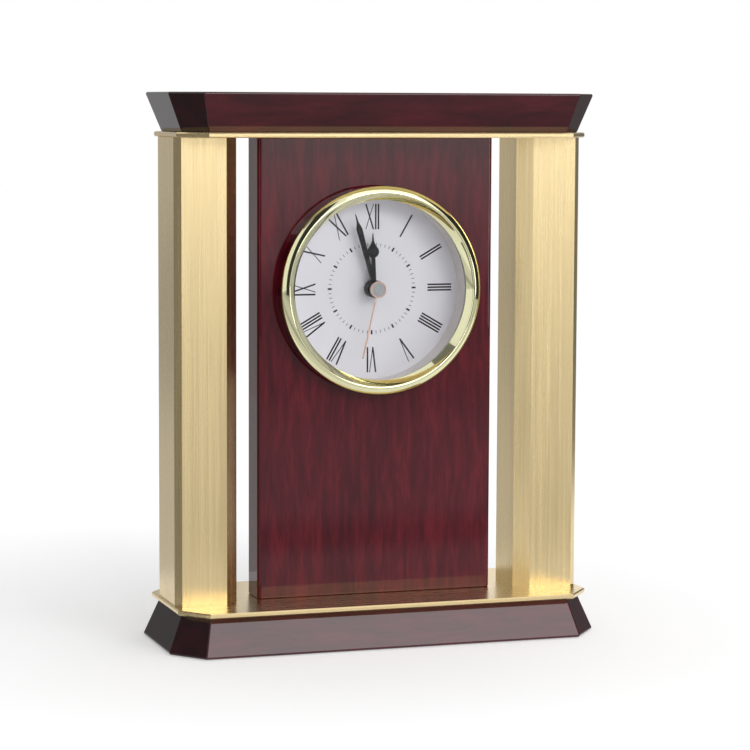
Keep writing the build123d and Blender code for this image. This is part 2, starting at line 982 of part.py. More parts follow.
def coil_bobbin():
    body = coil_bar(bobbin_core_radius, -coil_half_length, coil_half_length)
    body += coil_bar(bobbin_radius, -coil_half_length, -coil_half_length + bobbin_flange)
    body += coil_bar(bobbin_radius, coil_half_length - bobbin_flange, coil_half_length)
    return body - core_slot()


def coil_winding():
    reach = coil_half_length - bobbin_flange
    bore = coil_bar(bobbin_core_radius, -reach - cut_overrun, reach + cut_overrun)
    return coil_bar(coil_radius, -reach, reach) - bore


# Bridge and board


def board_outline(low):
    height = bridge_top - low
    return Pos(0, low + height / 2) * RectangleRounded(bridge_width, height, bridge_corner)


def train_bridge():
    body = face_bar(board_outline(bridge_low), bridge_face, bridge_back)
    front, back = bridge_face - cut_overrun, bridge_back + cut_overrun
    for place in bridge_pillar_places():
        body -= bar_y(stake_radius + seat_gap, front, back, place)
    for place in (third_place, intermediate_place, rotor_place):
        body -= bar_y(pivot_radius + running_gap, front, back, place)
    body -= bar_y(seconds_arbor_radius + running_gap, front, back)
    return body - bar_y(stem_radius + running_gap, front, back, setting_place)


board_back = bridge_back + board_thickness


def circuit_board():
    body = face_bar(board_outline(board_low), bridge_back, board_back)
    for place in bridge_pillar_places():
        body -= bar_y(stake_radius + seat_gap, bridge_back - cut_overrun, board_back + cut_overrun, place)
    return body


def board_point(place_share):
    """A place on the board, from its middle across and its low edge up, as shares of its size."""
    across, up = place_share
    return bridge_width * across, board_low + (bridge_top - board_low) * up


def chip_cover():
    """The drop of resin over the chip."""
    drop = bar_y(chip_radius, board_back, board_back + chip_height, board_point(chip_place_share))
    return fillet(drop.edges().filter_by(GeomType.CIRCLE).sort_by(Axis.Y)[-1], chip_height - chip_rim)


def crystal():
    x, z = board_point(crystal_place_share)
    body = extrude(Plane.YZ * Circle(crystal_radius), crystal_length)
    return Pos(x - crystal_length / 2, board_back + crystal_radius, z) * body


# Battery


battery_height = (bay_low + bay_top) / 2
battery_depth = front_plate_back + seat_gap + battery_radius
battery_left = -case_inside + contact_thickness + contact_leaf_reach


def battery_cell():
    """A cell with its flat end at the left and its nub at the right, as seen from the front."""
    right = battery_left + battery_length
    body = extrude(Plane.YZ * Circle(battery_radius), battery_length)
    nub = extrude(Plane.YZ * Circle(battery_nub_radius), battery_nub_height)
    place = Pos(battery_left, battery_depth, battery_height)
    return place * (body + Pos(battery_length, 0, 0) * nub)


def contact_strip(left):
    return box_between(
        left,
        left + contact_thickness,
        battery_depth - contact_width / 2,
        battery_depth + contact_width / 2,
        battery_height - contact_height / 2,
        battery_height + contact_height / 2,
    )


def positive_contact():
    return contact_strip(case_inside - contact_thickness)


def negative_contact():
    """A strip with a bent leaf that presses on the flat end of the cell."""
    strip = contact_strip(-case_inside)
    left = -case_inside + contact_thickness
    low = battery_height - contact_height / 2
    leaf = make_face(
        Polyline(
            (left, low),
            (battery_left, battery_height),
            (battery_left, battery_height + contact_thickness),
            (battery_left - contact_thickness, battery_height + contact_thickness),
            (left - contact_thickness / 2, low + contact_thickness),
            close=True,
        )
    )
    front = battery_depth - contact_width / 4
    return strip + face_bar(leaf, front, front + contact_width / 2)


# Hands


def hub(radius, bore, start, end):
    """A ring about the arbors, between two distances in front of the dial."""
    return ring_y(radius, bore, dial_front - end, dial_front - start)


def blade(outline, start, angle, bore):
    """A flat hand with a round root, turned clockwise from twelve."""
    front = dial_front - start - blade_thickness
    shape = face_bar(outline, front, front + blade_thickness)
    shape -= bar_y(bore, front - cut_overrun, front + blade_thickness + cut_overrun)
    return Rot(0, angle, 0) * shape


def hour_hand():
    """A spade hand: a stem, a round bulb drawn out to a needle."""
    stem = make_face(
        Polyline(
            (-hour_root_width / 2, 0),
            (hour_root_width / 2, 0),
            (hour_stem_width / 2, hour_bulb_distance),
            (-hour_stem_width / 2, hour_bulb_distance),
            close=True,
        )
    )
    shoulder = (hour_bulb_radius * math.cos(math.pi / 6), hour_bulb_distance + hour_bulb_radius / 2)
    needle = (hour_needle_width / 2, hour_needle_start)
    waist_share = 0.38
    waist = (
        needle[0] + (shoulder[0] - needle[0]) * waist_share,
        (shoulder[1] + needle[1]) / 2,
    )
    drawn_out = make_face(
        [
            ThreePointArc(shoulder, waist, needle),
            Polyline(
                needle,
                (needle_tip_width / 2, hour_length),
                (-needle_tip_width / 2, hour_length),
                (-needle[0], needle[1]),
            ),
            ThreePointArc((-needle[0], needle[1]), (-waist[0], waist[1]), (-shoulder[0], shoulder[1])),
            Line((-shoulder[0], shoulder[1]), shoulder),
        ]
    )
    outline = stem + Pos(0, hour_bulb_distance) * Circle(hour_bulb_radius) + drawn_out
    flat = blade(outline, hour_blade_start, hour_hand_angle, hour_radius)
    return flat + hub(hub_radius, hour_radius, hour_hub_start, hour_hub_end)


def minute_hand():
    """A lance hand that widens along its length and ends in a needle."""
    half = [
        (minute_root_width / 2, 0),
        (minute_wide / 2, minute_wide_distance),
        (minute_needle_width / 2, minute_needle_start),
        (needle_tip_width / 2, minute_length),
    ]
    outline = make_face(Polyline(*half, *[(-x, y) for x, y in reversed(half)], close=True))
    flat = blade(outline, minute_blade_start, minute_hand_angle, cannon_radius)
    return flat + hub(hub_radius, cannon_radius, minute_hub_start, minute_hub_end)


def seconds_hub():
    return hub(seconds_hub_radius, seconds_arbor_radius, seconds_hub_start, seconds_hub_end)


def seconds_hand():
    """A thin hand on a rimmed cap."""
    half = [(seconds_root_width / 2, 0), (seconds_tip_width / 2, seconds_length)]
    outline = make_face(Polyline(*half, *[(-x, y) for x, y in reversed(half)], close=True))
    ring_bore = seconds_hub_radius - cap_ring_wall
    flat = blade(outline, seconds_hub_end, seconds_hand_angle, ring_bore)
    return flat + hub(seconds_hub_radius, ring_bore, seconds_hub_end, seconds_ring_end)


def cap_face():
    radius = seconds_hub_radius - cap_ring_wall
    return bar_y(radius, dial_front - seconds_ring_end + cap_face_depth, dial_front - seconds_hub_end)


save("base_block", base_block())
save("base_felt", felt_pad())
save("lower_plate", lower_plate())
save("upper_plate", upper_plate())
save("crown_block", crown_block())
save("left_column", column(-1))
save("right_column", column(1))
save("column_plugs", column_plugs())
save("tie_rods", tie_rods())
save("tie_rod_nuts", tie_rod_nuts())
save("tie_rod_washers", tie_rod_washers())
save("crown_inserts", crown_inserts())
save("front_panel", front_panel())
save("panel_screws_lower", panel_screws_lower())
save("panel_screws_upper", panel_screws_upper())

for name, maker in {
    "dial_boss": dial_boss,
    "bezel": bezel,
    "glass_lens": glass_lens,
    "clock_can": clock_can,
    "inner_ring": inner_ring,
    "dial_plate": dial_plate,
    "rubber_gasket": gasket,
    "movement_front_plate": movement_front_plate,
    "movement_cover": movement_cover,
    "movement_screws": movement_screws,
    "third_wheel": third_wheel,
    "intermediate_wheel": intermediate_wheel,
    "rotor_pinion": rotor_pinion,
    "rotor_magnet": rotor_magnet,
    "seconds_wheel": seconds_wheel,
    "seconds_arbor": seconds_arbor,
    "centre_wheel": centre_wheel,
    "cannon_pinion": cannon_pinion,
    "minute_wheel": minute_wheel,
    "hour_wheel": hour_wheel,
    "setting_pinion": setting_pinion,
    "setting_knob": setting_knob,
    "stator": stator,
    "coil_core": coil_core,
    "coil_bobbin": coil_bobbin,
    "coil_winding": coil_winding,
    "train_bridge": train_bridge,
    "circuit_board": circuit_board,
    "chip_cover": chip_cover,
    "crystal": crystal,
    "battery_cell": battery_cell,
    "positive_contact": positive_contact,
    "negative_contact": negative_contact,
    "hour_hand": hour_hand,
    "minute_hand": minute_hand,
    "seconds_hub": seconds_hub,
    "seconds_hand": seconds_hand,
    "cap_face": cap_face,
}.items():
    save_on_axis(name, maker())
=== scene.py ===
import math

import bmesh
import bpy
from mathutils import Matrix, Vector


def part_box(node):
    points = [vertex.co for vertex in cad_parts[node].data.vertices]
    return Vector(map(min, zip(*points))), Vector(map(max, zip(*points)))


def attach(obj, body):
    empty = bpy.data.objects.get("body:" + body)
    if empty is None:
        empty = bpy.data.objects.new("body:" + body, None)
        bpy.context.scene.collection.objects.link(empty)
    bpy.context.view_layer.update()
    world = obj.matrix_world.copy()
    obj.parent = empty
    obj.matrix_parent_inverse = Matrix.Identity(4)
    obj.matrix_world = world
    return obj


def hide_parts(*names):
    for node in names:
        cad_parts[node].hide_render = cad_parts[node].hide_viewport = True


bl_info = {
    "name": "Brass column desk clock",
    "version": (1, 0, 0),
    "blender": (4, 5, 0),
    "location": "3D View > Sidebar > Desk clock",
    "description": "Dresses a desk clock with brass columns, lacquered wood and a printed dial",
    "category": "Object",
}

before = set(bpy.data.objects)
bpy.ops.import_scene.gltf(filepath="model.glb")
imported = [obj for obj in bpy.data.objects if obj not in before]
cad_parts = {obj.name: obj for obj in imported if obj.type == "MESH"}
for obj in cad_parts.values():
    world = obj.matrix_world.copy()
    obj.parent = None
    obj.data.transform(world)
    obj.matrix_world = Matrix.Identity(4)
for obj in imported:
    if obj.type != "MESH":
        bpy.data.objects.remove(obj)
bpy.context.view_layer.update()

MM = 0.001
WELD = 1e-7
DIAL_CENTRE = sum(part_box("dial_plate"), Vector()) / 2
DIAL_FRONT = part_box("dial_plate")[0].y


# Sizes and colours that a user would change

def colour_setting(name, description, default):
    return bpy.props.FloatVectorProperty(
        name=name, description=description, subtype="COLOR", size=4, min=0, max=1, default=(*default, 1)
    )


def number_setting(name, description, default, unit="NONE"):
    return bpy.props.FloatProperty(
        name=name, description=description, unit=unit, min=0, default=default, precision=5
    )


def length_setting(name, description, millimetres):
    return number_setting(name, description, millimetres * MM, "LENGTH")


def power_setting(name, description, watts):
    return number_setting(name, "Power of " + description, watts, "POWER")


class ClockWoodSettings(bpy.types.PropertyGroup):
    dark: colour_setting("Dark figure", "Darkest wood under the lacquer", (0.064, 0.0048, 0.0105))
    middle: colour_setting("Middle figure", "Main colour of the wood", (0.095, 0.0066, 0.0135))
    red: colour_setting("Red figure", "Brightest streaks of the wood", (0.135, 0.0094, 0.018))


class ClockBrassSettings(bpy.types.PropertyGroup):
    brushed: colour_setting("Brushed brass", "Columns and plates", (0.815, 0.646, 0.355))
    polished: colour_setting("Polished brass", "Bezel round the glass", (0.8, 0.785, 0.5))
    turned: colour_setting("Turned brass", "Small brass parts", (0.74, 0.56, 0.27))


class ClockDialSettings(bpy.types.PropertyGroup):
    silver: colour_setting("Dial paint", "Paint of the dial", (0.8, 0.775, 0.845))
    ink: colour_setting("Ink", "Numerals and hour bars", (0.008, 0.008, 0.01))
    pale_ink: colour_setting("Pale ink", "Minute ticks", (0.11, 0.11, 0.12))
    numeral_inner: length_setting("Numeral inner radius", "Where the numerals start", 24.9)
    numeral_outer: length_setting("Numeral outer radius", "Where the numerals end", 35.6)
    thick_stroke: length_setting("Thick stroke", "Width of a thick stroke", 0.69)
    thin_stroke: length_setting("Thin stroke", "Width of a thin stroke", 0.36)
    track_radius: length_setting("Minute track radius", "Middle of the minute track", 18.65)
    bar_length: length_setting("Hour bar length", "Length of a bar on the minute track", 1.8)
    bar_width: length_setting("Hour bar width", "Width of a bar on the minute track", 0.75)
    tick_length: length_setting("Tick length", "Length of a minute tick", 1.25)
    tick_width: length_setting("Tick width", "Width of a minute tick", 0.27)
    ink_height: length_setting("Ink height", "How far the ink stands above the paint", 0.03)


class ClockStageSettings(bpy.types.PropertyGroup):
    floor: colour_setting("Floor", "Colour of the floor", (0.82, 0.82, 0.83))
    sky: number_setting("Room light", "Light from all round", 0.46)
    key_lamp: power_setting("Key lamp", "the soft box at the front right", 2.1)
    fill_lamp: power_setting("Fill lamp", "the wide soft box in front", 4.7)
    strip_lamp: power_setting("Strip lamp", "the narrow box at the front left", 1.6)
    top_lamp: power_setting("Top lamp", "the soft lamp above the front", 0.5)
    side_lamp: power_setting("Side lamp", "the small low lamp at the right", 0.9)


# Node trees

def put(tree, kind, inputs=None, **settings):
    """One shader node, with its settings and its inputs set or linked."""
    node = tree.nodes.new("ShaderNode" + kind)
    for name, value in settings.items():
        setattr(node, name, value)
    for key, value in (inputs or {}).items():
        if isinstance(value, bpy.types.NodeSocket):
            tree.links.new(value, node.inputs[key])
        else:
            node.inputs[key].default_value = value
    return node


def object_place(tree):
    return put(tree, "TexCoord").outputs["Object"]


def calculated(tree, operation, first, second=None):
    """The value that a math node makes from one or two values."""
    inputs = {0: first} if second is None else {0: first, 1: second}
    return put(tree, "Math", inputs, operation=operation).outputs[0]


def along_axis(tree, vector, axis):
    """One component of a vector."""
    return put(tree, "SeparateXYZ", {0: vector}).outputs[axis]


def new_group(name, inputs, outputs):
    """An empty node group with its sockets."""
    tree = bpy.data.node_groups.new(name, "ShaderNodeTree")
    for label, kind, value in inputs:
        socket = tree.interface.new_socket(label, in_out="INPUT", socket_type="NodeSocket" + kind)
        socket.default_value = value
    for label in outputs:
        tree.interface.new_socket(label, in_out="OUTPUT", socket_type="NodeSocketFloat")
    given = tree.nodes.new("NodeGroupInput").outputs
    return tree, given, tree.nodes.new("NodeGroupOutput").inputs


def stretched_noise(tree, stretch, scale, detail, roughness=0.5, distortion=0):
    """Noise in object coordinates; stretch is the number of features to a metre on each axis."""
    mapped = put(tree, "Mapping", {"Vector": object_place(tree), "Scale": stretch})
    inputs = {"Vector": mapped.outputs["Vector"], "Scale": scale, "Detail": detail,
              "Roughness": roughness, "Distortion": distortion}
    return put(tree, "TexNoise", inputs).outputs["Fac"]


# Noises of a stretched effect: own stretch if any, scale, detail, roughness and distortion
WOOD_NOISES = {"Figure": (None, 1, 5, 0.62, 0.5), "Mottle": (None, 0.28, 3, 0.55, 0.3),
               "Pores": (None, 5, 3, 0.6)}
BRUSH_NOISES = {"Fine": (None, 1.6, 4, 0.65), "Broad": (None, 0.45, 2),
                "Cloud": ((22, 22, 22), 1, 2)}


def noise_group(name, stretch, noises):
    """A group that puts out several noises, stretched alike unless one has its own stretch."""
    tree, given, wanted = new_group(name, [("Stretch", "Vector", stretch)], noises)
    for label, (own_stretch, *values) in noises.items():
        noise = stretched_noise(tree, own_stretch or given["Stretch"], *values)
        tree.links.new(noise, wanted[label])
    return tree


def wood_figure_group(name):
    """Figure, mottle and pores of a piece of wood."""
    return noise_group(name, (40, 200, 200), WOOD_NOISES)


def brush_lines_group(name):
    """Fine and broad lines left by a brush or belt, and clouds over them."""
    return noise_group(name, (1400, 1400, 14), BRUSH_NOISES)


def turned_lines_group(name):
    """Lines round an axis along Y through a centre, as a lathe leaves them, and clouds."""
    tree, given, wanted = new_group(
        name, [("Centre", "Vector", (0, 0, 0)), ("Lines", "Float", 4000)], ["Line", "Cloud"]
    )
    from_centre = {0: object_place(tree), 1: given["Centre"]}
    away = put(tree, "VectorMath", from_centre, operation="SUBTRACT")
    parts = put(tree, "SeparateXYZ", {0: away.outputs[0]}).outputs
    flat = put(tree, "CombineXYZ", {"X": parts["X"], "Z": parts["Z"]}).outputs[0]
    radius = put(tree, "VectorMath", {0: flat}, operation="LENGTH").outputs["Value"]
    reach = calculated(tree, "ADD", radius, parts["Y"])
    lines = calculated(tree, "MULTIPLY", reach, given["Lines"])
    noise = put(tree, "TexNoise", {"W": lines, "Scale": 1, "Detail": 3}, noise_dimensions="1D")
    tree.links.new(noise.outputs["Fac"], wanted["Line"])
    tree.links.new(stretched_noise(tree, (60, 60, 60), scale=1, detail=3), wanted["Cloud"])
    return tree


def fine_skin_group(name):
    """The fine grain of a moulded, painted or rolled surface, with clouds and small specks."""
    outputs = ["Grain", "Cloud", "Speck"]
    tree, given, wanted = new_group(name, [("Grains", "Float", 2500)], outputs)
    place = object_place(tree)
    grain = put(tree, "TexNoise", {"Vector": place, "Scale": given["Grains"], "Detail": 2})
    cloud = put(tree, "TexNoise", {"Vector": place, "Scale": 45, "Detail": 3})
    dots = put(tree, "TexVoronoi", {"Vector": place, "Scale": 420})
    speck = spread(tree, dots.outputs["Distance"], low=1, high=0, start=0.03, end=0.07)
    tree.links.new(grain.outputs["Fac"], wanted["Grain"])
    tree.links.new(cloud.outputs["Fac"], wanted["Cloud"])
    tree.links.new(speck, wanted["Speck"])
    return tree


EFFECT_GROUPS = {"wood_figure": wood_figure_group, "brush_lines": brush_lines_group,
                 "turned_lines": turned_lines_group, "fine_skin": fine_skin_group}


def effect(tree, name, **inputs):
    """A shared effect placed in a material; returns its outputs."""
    shared = bpy.data.node_groups.get(name) or EFFECT_GROUPS[name](name)
    node = put(tree, "Group", node_tree=shared)
    for label, value in inputs.items():
        node.inputs[label].default_value = value
    return node.outputs


def new_material(name, **sockets):
    """A material with one Principled shader, whose plain values are set here, and its tree."""
    material = bpy.data.materials.new(name)
    material.use_nodes = True
    shader = material.node_tree.nodes["Principled BSDF"]
    for label, value in sockets.items():
        shader.inputs[label.replace("_", " ")].default_value = value
    return material, material.node_tree


def bare_material(name):
    """A material with no shader yet, its tree and the socket that a shader goes into."""
    material = bpy.data.materials.new(name)
    material.use_nodes = True
    tree = material.node_tree
    tree.nodes.remove(tree.nodes["Principled BSDF"])
    return material, tree, tree.nodes["Material Output"].inputs["Surface"]


def ramp(tree, value, stops):
    """Colours along a value from 0 to 1."""
    node = put(tree, "ValToRGB", {"Fac": value})
    elements = node.color_ramp.elements
    while len(elements) < len(stops):
        elements.new(0.5)
    for element, (place, colour) in zip(elements, stops):
        element.position = place
        element.color = (*colour[:3], 1)
    return node.outputs["Color"]


def spread(tree, value, low, high, start=0.3, end=0.7):
    """Low where a value is at start or under, high where it is at end or over."""
    inputs = {"Value": value, "From Min": start, "From Max": end, "To Min": low, "To Max": high}
    return put(tree, "MapRange", inputs).outputs["Result"]


def shade(tree, colour, value):
    """A colour made lighter or darker by a value about 1."""
    mixed = put(tree, "VectorMath", {0: colour, "Scale": value}, operation="SCALE")
    return mixed.outputs["Vector"]


def shaded(tree, colour, value, low, high):
    """A colour made lighter or darker by a value that is spread from low to high."""
    return shade(tree, colour, spread(tree, value, low, high))


def blend_colours(tree, factor, first, second):
    """The first colour where the factor is 0, the second where it is 1."""
    inputs = {"Factor": factor, 6: (*first[:3], 1), 7: (*second[:3], 1)}
    return put(tree, "Mix", inputs, data_type="RGBA").outputs[2]


def toned(tree, tone, dark, light):
    """Two colours of one finish, mixed by a value."""
    return ramp(tree, tone, [(0.3, dark), (0.7, light)])


def darker(colour, share):
    """A share of a plain colour."""
    return [channel * share for channel in colour[:3]]


def bump(tree, height, distance, strength):
    """A normal from a height, in metres."""
    inputs = {"Height": height, "Distance": distance, "Strength": strength}
    return put(tree, "Bump", inputs).outputs["Normal"]


def feed(tree, **values):
    """Links values to the inputs of a material's Principled shader."""
    for label, value in values.items():
        tree.links.new(value, tree.nodes["Principled BSDF"].inputs[label.replace("_", " ")])


def dress(material, colour, roughness, height, distance, strength):
    """Gives a material its colour, its roughness if it varies, and a height as bump."""
    tree = material.node_tree
    feed(tree, Base_Color=colour, Normal=bump(tree, height, distance, strength))
    if roughness:
        feed(tree, Roughness=roughness)
    return material


# Finishes

def painted_end_shade(tree, low):
    """Painted shade: 1 on the long faces of a block that lies along X, down to low on its ends and
    corners.
    """
    facing = put(tree, "NewGeometry").outputs["True Normal"]
    size = calculated(tree, "ABSOLUTE", along_axis(tree, facing, "X"))
    return spread(tree, size, low=1, high=low, start=0.3, end=0.6)


def lacquered_wood(name, stretch, wood, coat=1, depth=1, ends=1):
    """Stained wood under gloss lacquer; depth and ends are painted shade: how light all of it and its
    ends are drawn.
    """
    material, tree = new_material(
        name, Roughness=0.45, Specular_IOR_Level=0, Coat_Weight=coat, Coat_Roughness=0.02, Coat_IOR=1.5
    )
    figure = effect(tree, "wood_figure", Stretch=stretch)
    stops = [(0.34, wood.dark), (0.5, wood.middle), (0.66, wood.red)]
    stained = ramp(tree, figure["Figure"], stops)
    # Mottle is the wood's own random tone; depth darkens the whole piece as painted shade
    mottled_and_shaded = shaded(tree, stained, figure["Mottle"], 0.8 * depth, 1.2 * depth)
    porous = shaded(tree, mottled_and_shaded, figure["Pores"], 0.88, 1.06)
    # Painted shade on the ends and corner cuts of the block
    colour = shade(tree, porous, painted_end_shade(tree, ends))
    roughness = spread(tree, figure["Figure"], 0.38, 0.52)
    skin = effect(tree, "fine_skin", Grains=160)
    return dress(material, colour, roughness, skin["Grain"], distance=2e-5, strength=0.5)


def bare_wood():
    """Pale hardwood without lacquer."""
    material, tree = new_material("bare_hardwood", Roughness=0.7)
    figure = effect(tree, "wood_figure", Stretch=(220, 220, 30))
    base = toned(tree, figure["Figure"], (0.4, 0.25, 0.13), (0.6, 0.42, 0.25))
    colour = shaded(tree, base, figure["Pores"], 0.85, 1.05)
    return dress(material, colour, None, figure["Pores"], distance=5e-5, strength=0.5)


def brushed_brass(name, stretch, colour):
    """Brass with straight brush lines."""
    material, tree = new_material(name, Metallic=1, Roughness=0.3)
    lines = effect(tree, "brush_lines", Stretch=stretch)
    tone = spread(tree, lines["Fine"], 0.9, 1.07)
    paler = [min(1, channel * 1.03) for channel in colour[:3]]
    base = blend_colours(tree, lines["Cloud"], darker(colour, 0.96), paler)
    broad = shaded(tree, base, lines["Broad"], 0.97, 1.03)
    base = shade(tree, broad, tone)
    roughness = spread(tree, lines["Broad"], 0.22, 0.29)
    return dress(material, base, roughness, lines["Fine"], distance=6e-5, strength=0.5)


def turned_metal(name, colour, roughness, lines=3000, depth=1e-5, contrast=0.08):
    """Metal from a lathe, with faint lines round the dial's axis."""
    material, tree = new_material(name, Metallic=1, Roughness=roughness)
    turned = effect(tree, "turned_lines", Centre=DIAL_CENTRE, Lines=lines)
    base = toned(tree, turned["Cloud"], darker(colour, 0.94), colour)
    base = shaded(tree, base, turned["Line"], 1 - contrast, 1)
    varied = spread(tree, turned["Line"], roughness * 0.8, roughness * 1.3)
    return dress(material, base, varied, turned["Line"], distance=depth, strength=0.3)


def sheet_metal(name, colour, roughness):
    """Rolled or plated metal with faint lines and clouds."""
    material, tree = new_material(name, Metallic=1, Roughness=roughness)
    lines = effect(tree, "brush_lines", Stretch=(900, 900, 30))
    base = toned(tree, lines["Cloud"], darker(colour, 0.86), colour)
    base = shaded(tree, base, lines["Fine"], 0.93, 1.03)
    varied = spread(tree, lines["Broad"], roughness * 0.8, roughness * 1.25)
    return dress(material, base, varied, lines["Fine"], distance=1e-5, strength=0.4)


def moulded(name, colour, roughness, grains=1600, depth=3e-5, **sockets):
    """Moulded plastic or rubber, or a painted surface, with a fine skin."""
    material, tree = new_material(name, Roughness=roughness, **sockets)
    skin = effect(tree, "fine_skin", Grains=grains)
    base = toned(tree, skin["Cloud"], darker(colour, 0.88), colour)
    base = shaded(tree, base, skin["Grain"], 0.95, 1.05)
    varied = spread(tree, skin["Cloud"], roughness * 0.9, roughness * 1.12)
    return dress(material, base, varied, skin["Grain"], distance=depth, strength=0.5)


def dial_paint(silver):
    """Silver-white paint with a fine sparkle."""
    material, tree = new_material("silver_dial_paint", Roughness=0.42)
    skin = effect(tree, "fine_skin", Grains=5200)
    base = toned(tree, skin["Cloud"], darker(silver, 0.975), silver)
    base = shaded(tree, base, skin["Grain"], 0.975, 1.02)
    roughness = spread(tree, skin["Grain"], 0.36, 0.5)
    return dress(material, base, roughness, skin["Grain"], distance=8e-6, strength=0.3)


def felt_cloth():
    """Green felt with a short nap."""
    material, tree = new_material("green_felt", Roughness=0.95, Sheen_Weight=0.35, Sheen_Roughness=0.5)
    skin = effect(tree, "fine_skin", Grains=1800)
    fibres = effect(tree, "brush_lines", Stretch=(900, 300, 900))
    base = toned(tree, fibres["Fine"], (0.028, 0.075, 0.045), (0.06, 0.145, 0.085))
    base = shaded(tree, base, skin["Grain"], 0.75, 1.2)
    return dress(material, base, None, skin["Grain"], distance=3e-4, strength=0.8)


def clear_glass():
    """Flat clock glass that lets the lamps through."""
    material, tree = new_material(
        "clock_glass", Base_Color=(0.975, 0.985, 0.98, 1), Roughness=0, IOR=1.14,
        Transmission_Weight=1,
    )
    skin = effect(tree, "fine_skin", Grains=90)
    smears = spread(tree, skin["Speck"], low=0, high=0.03, start=0, end=1)
    feed(tree, Roughness=smears, Normal=bump(tree, skin["Cloud"], distance=2e-6, strength=0.2))
    path = put(tree, "LightPath").outputs
    lamps = calculated(tree, "MAXIMUM", path["Is Shadow Ray"], path["Is Diffuse Ray"])
    through = put(tree, "BsdfTransparent", {"Color": (0.96, 0.97, 0.965, 1)})
    glass = tree.nodes["Principled BSDF"].outputs[0]
    mixed = put(tree, "MixShader", {0: lamps, 1: glass, 2: through.outputs[0]})
    tree.links.new(mixed.outputs[0], tree.nodes["Material Output"].inputs["Surface"])
    return material


def circuit_board_finish():
    """Green solder mask over straight copper tracks."""
    material, tree = new_material("green_circuit_board", Roughness=0.35, Coat_Weight=0.3)
    inputs = {"Vector": object_place(tree), "Rotation": (math.radians(90), 0, 0)}
    turned = put(tree, "Mapping", inputs).outputs[0]
    inputs = {"Vector": turned, "Scale": 180, "Mortar Size": 0.07, "Brick Width": 1.7,
              "Color1": (0.03, 0.17, 0.075, 1), "Color2": (0.02, 0.13, 0.06, 1),
              "Mortar": (0.07, 0.26, 0.11, 1)}
    tracks = put(tree, "TexBrick", inputs).outputs
    skin = effect(tree, "fine_skin", Grains=900)
    base = shaded(tree, tracks["Color"], skin["Cloud"], 0.85, 1.1)
    roughness = spread(tree, skin["Grain"], 0.3, 0.42)
    return dress(material, base, roughness, tracks["Fac"], distance=4e-5, strength=0.6)


def wound_wire():
    """Fine enamelled copper wire, wound side by side."""
    material, tree = new_material("wound_copper_wire", Metallic=1, Roughness=0.3)
    lines = effect(tree, "brush_lines", Stretch=(3600, 60, 60))
    base = toned(tree, lines["Fine"], (0.3, 0.09, 0.04), (0.72, 0.31, 0.15))
    roughness = spread(tree, lines["Broad"], 0.25, 0.4)
    return dress(material, base, roughness, lines["Fine"], distance=1e-4, strength=0.8)


def sleeve_print(left, right):
    """A plain blue sleeve with a copper-coloured band towards the button."""
    material, tree = new_material("battery_sleeve_print", Roughness=0.25, Coat_Weight=0.6)
    start, end = (left + (right - left) * share for share in (0.7, 0.71))
    along = along_axis(tree, object_place(tree), "X")
    band = spread(tree, along, 0, 1, start, end)
    skin = effect(tree, "fine_skin", Grains=900)
    colours = blend_colours(tree, band, (0.02, 0.045, 0.13), (0.62, 0.3, 0.14))
    base = shaded(tree, colours, skin["Cloud"], 0.9, 1.05)
    feed(tree, Metallic=spread(tree, band, low=0, high=0.9, start=0, end=1))
    roughness = spread(tree, skin["Grain"], 0.2, 0.32)
    return dress(material, base, roughness, skin["Cloud"], distance=1e-5, strength=0.3)


# Building pieces

def new_object(bm, name, material):
    """Turns a bmesh into an object of the scene with one material."""
    mesh = bpy.data.meshes.new(name)
    bm.to_mesh(mesh)
    bm.free()
    piece = bpy.data.objects.new(name, mesh)
    bpy.context.scene.collection.objects.link(piece)
    mesh.materials.append(material)
    return piece


def finish_piece(bm, name, material, body="case", sharp=None):
    """Turns a bmesh into a piece that rides on a body; edges over the angle sharp stay hard."""
    bmesh.ops.remove_doubles(bm, verts=bm.verts, dist=WELD)
    bmesh.ops.recalc_face_normals(bm, faces=bm.faces)
    piece = new_object(bm, name, material)
    if sharp:
        piece.data.shade_smooth()
        piece.data.set_sharp_from_angle(angle=math.radians(sharp))
    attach(piece, body)
    return piece


def give(material, *nodes):
    """Puts a material on CAD nodes."""
    for name in nodes:
        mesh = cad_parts[name].data
        mesh.materials.clear()
        mesh.materials.append(material)


def only(kind, items):
    """The items of one kind among what a bmesh operator made."""
    return [item for item in items if isinstance(item, kind)]


def spun(bm, centre, axis, steps):
    """Spins the section in bm once round an axis and closes the seam."""
    geometry = list(bm.verts) + list(bm.edges)
    bmesh.ops.spin(
        bm, geom=geometry, cent=centre, axis=axis, angle=math.tau, steps=steps, use_merge=True,
        dvec=(0, 0, 0),
    )
    bmesh.ops.remove_doubles(bm, verts=bm.verts, dist=WELD)


def raised(bm, corners, y, height):
    """A flat patch at a depth y, raised by a height along Y; corners are (x, z)."""
    face = bm.faces.new([bm.verts.new((x, y, z)) for x, z in corners])
    made = bmesh.ops.extrude_face_region(bm, geom=[face])["geom"]
    verts = only(bmesh.types.BMVert, made)
    bmesh.ops.translate(bm, verts=verts, vec=(0, height, 0))
    return verts + list(face.verts)


class CLOCK_OT_wood(bpy.types.Operator):
    """Gives the wooden pieces and the felt their finish"""

    bl_idname = "clock.wood"
    bl_label = "Finish the wood"

    def execute(self, context):
        wood = context.scene.clock_wood
        base, crown, panel = (26, 120, 120), (30, 130, 130), (255, 255, 38)
        # depth and ends paint shade on the base and crown: darker overall, darkest on their ends and
        # corners
        give(lacquered_wood("lacquer_along_base", base, wood, depth=0.85, ends=0.32), "base_block")
        give(lacquered_wood("lacquer_along_crown", crown, wood, depth=0.62, ends=0.36), "crown_block")
        give(lacquered_wood("lacquer_up_panel", panel, wood, coat=0.8), "front_panel", "dial_boss")
        give(bare_wood(), "column_plugs")
        give(felt_cloth(), "base_felt")
        return {"FINISHED"}


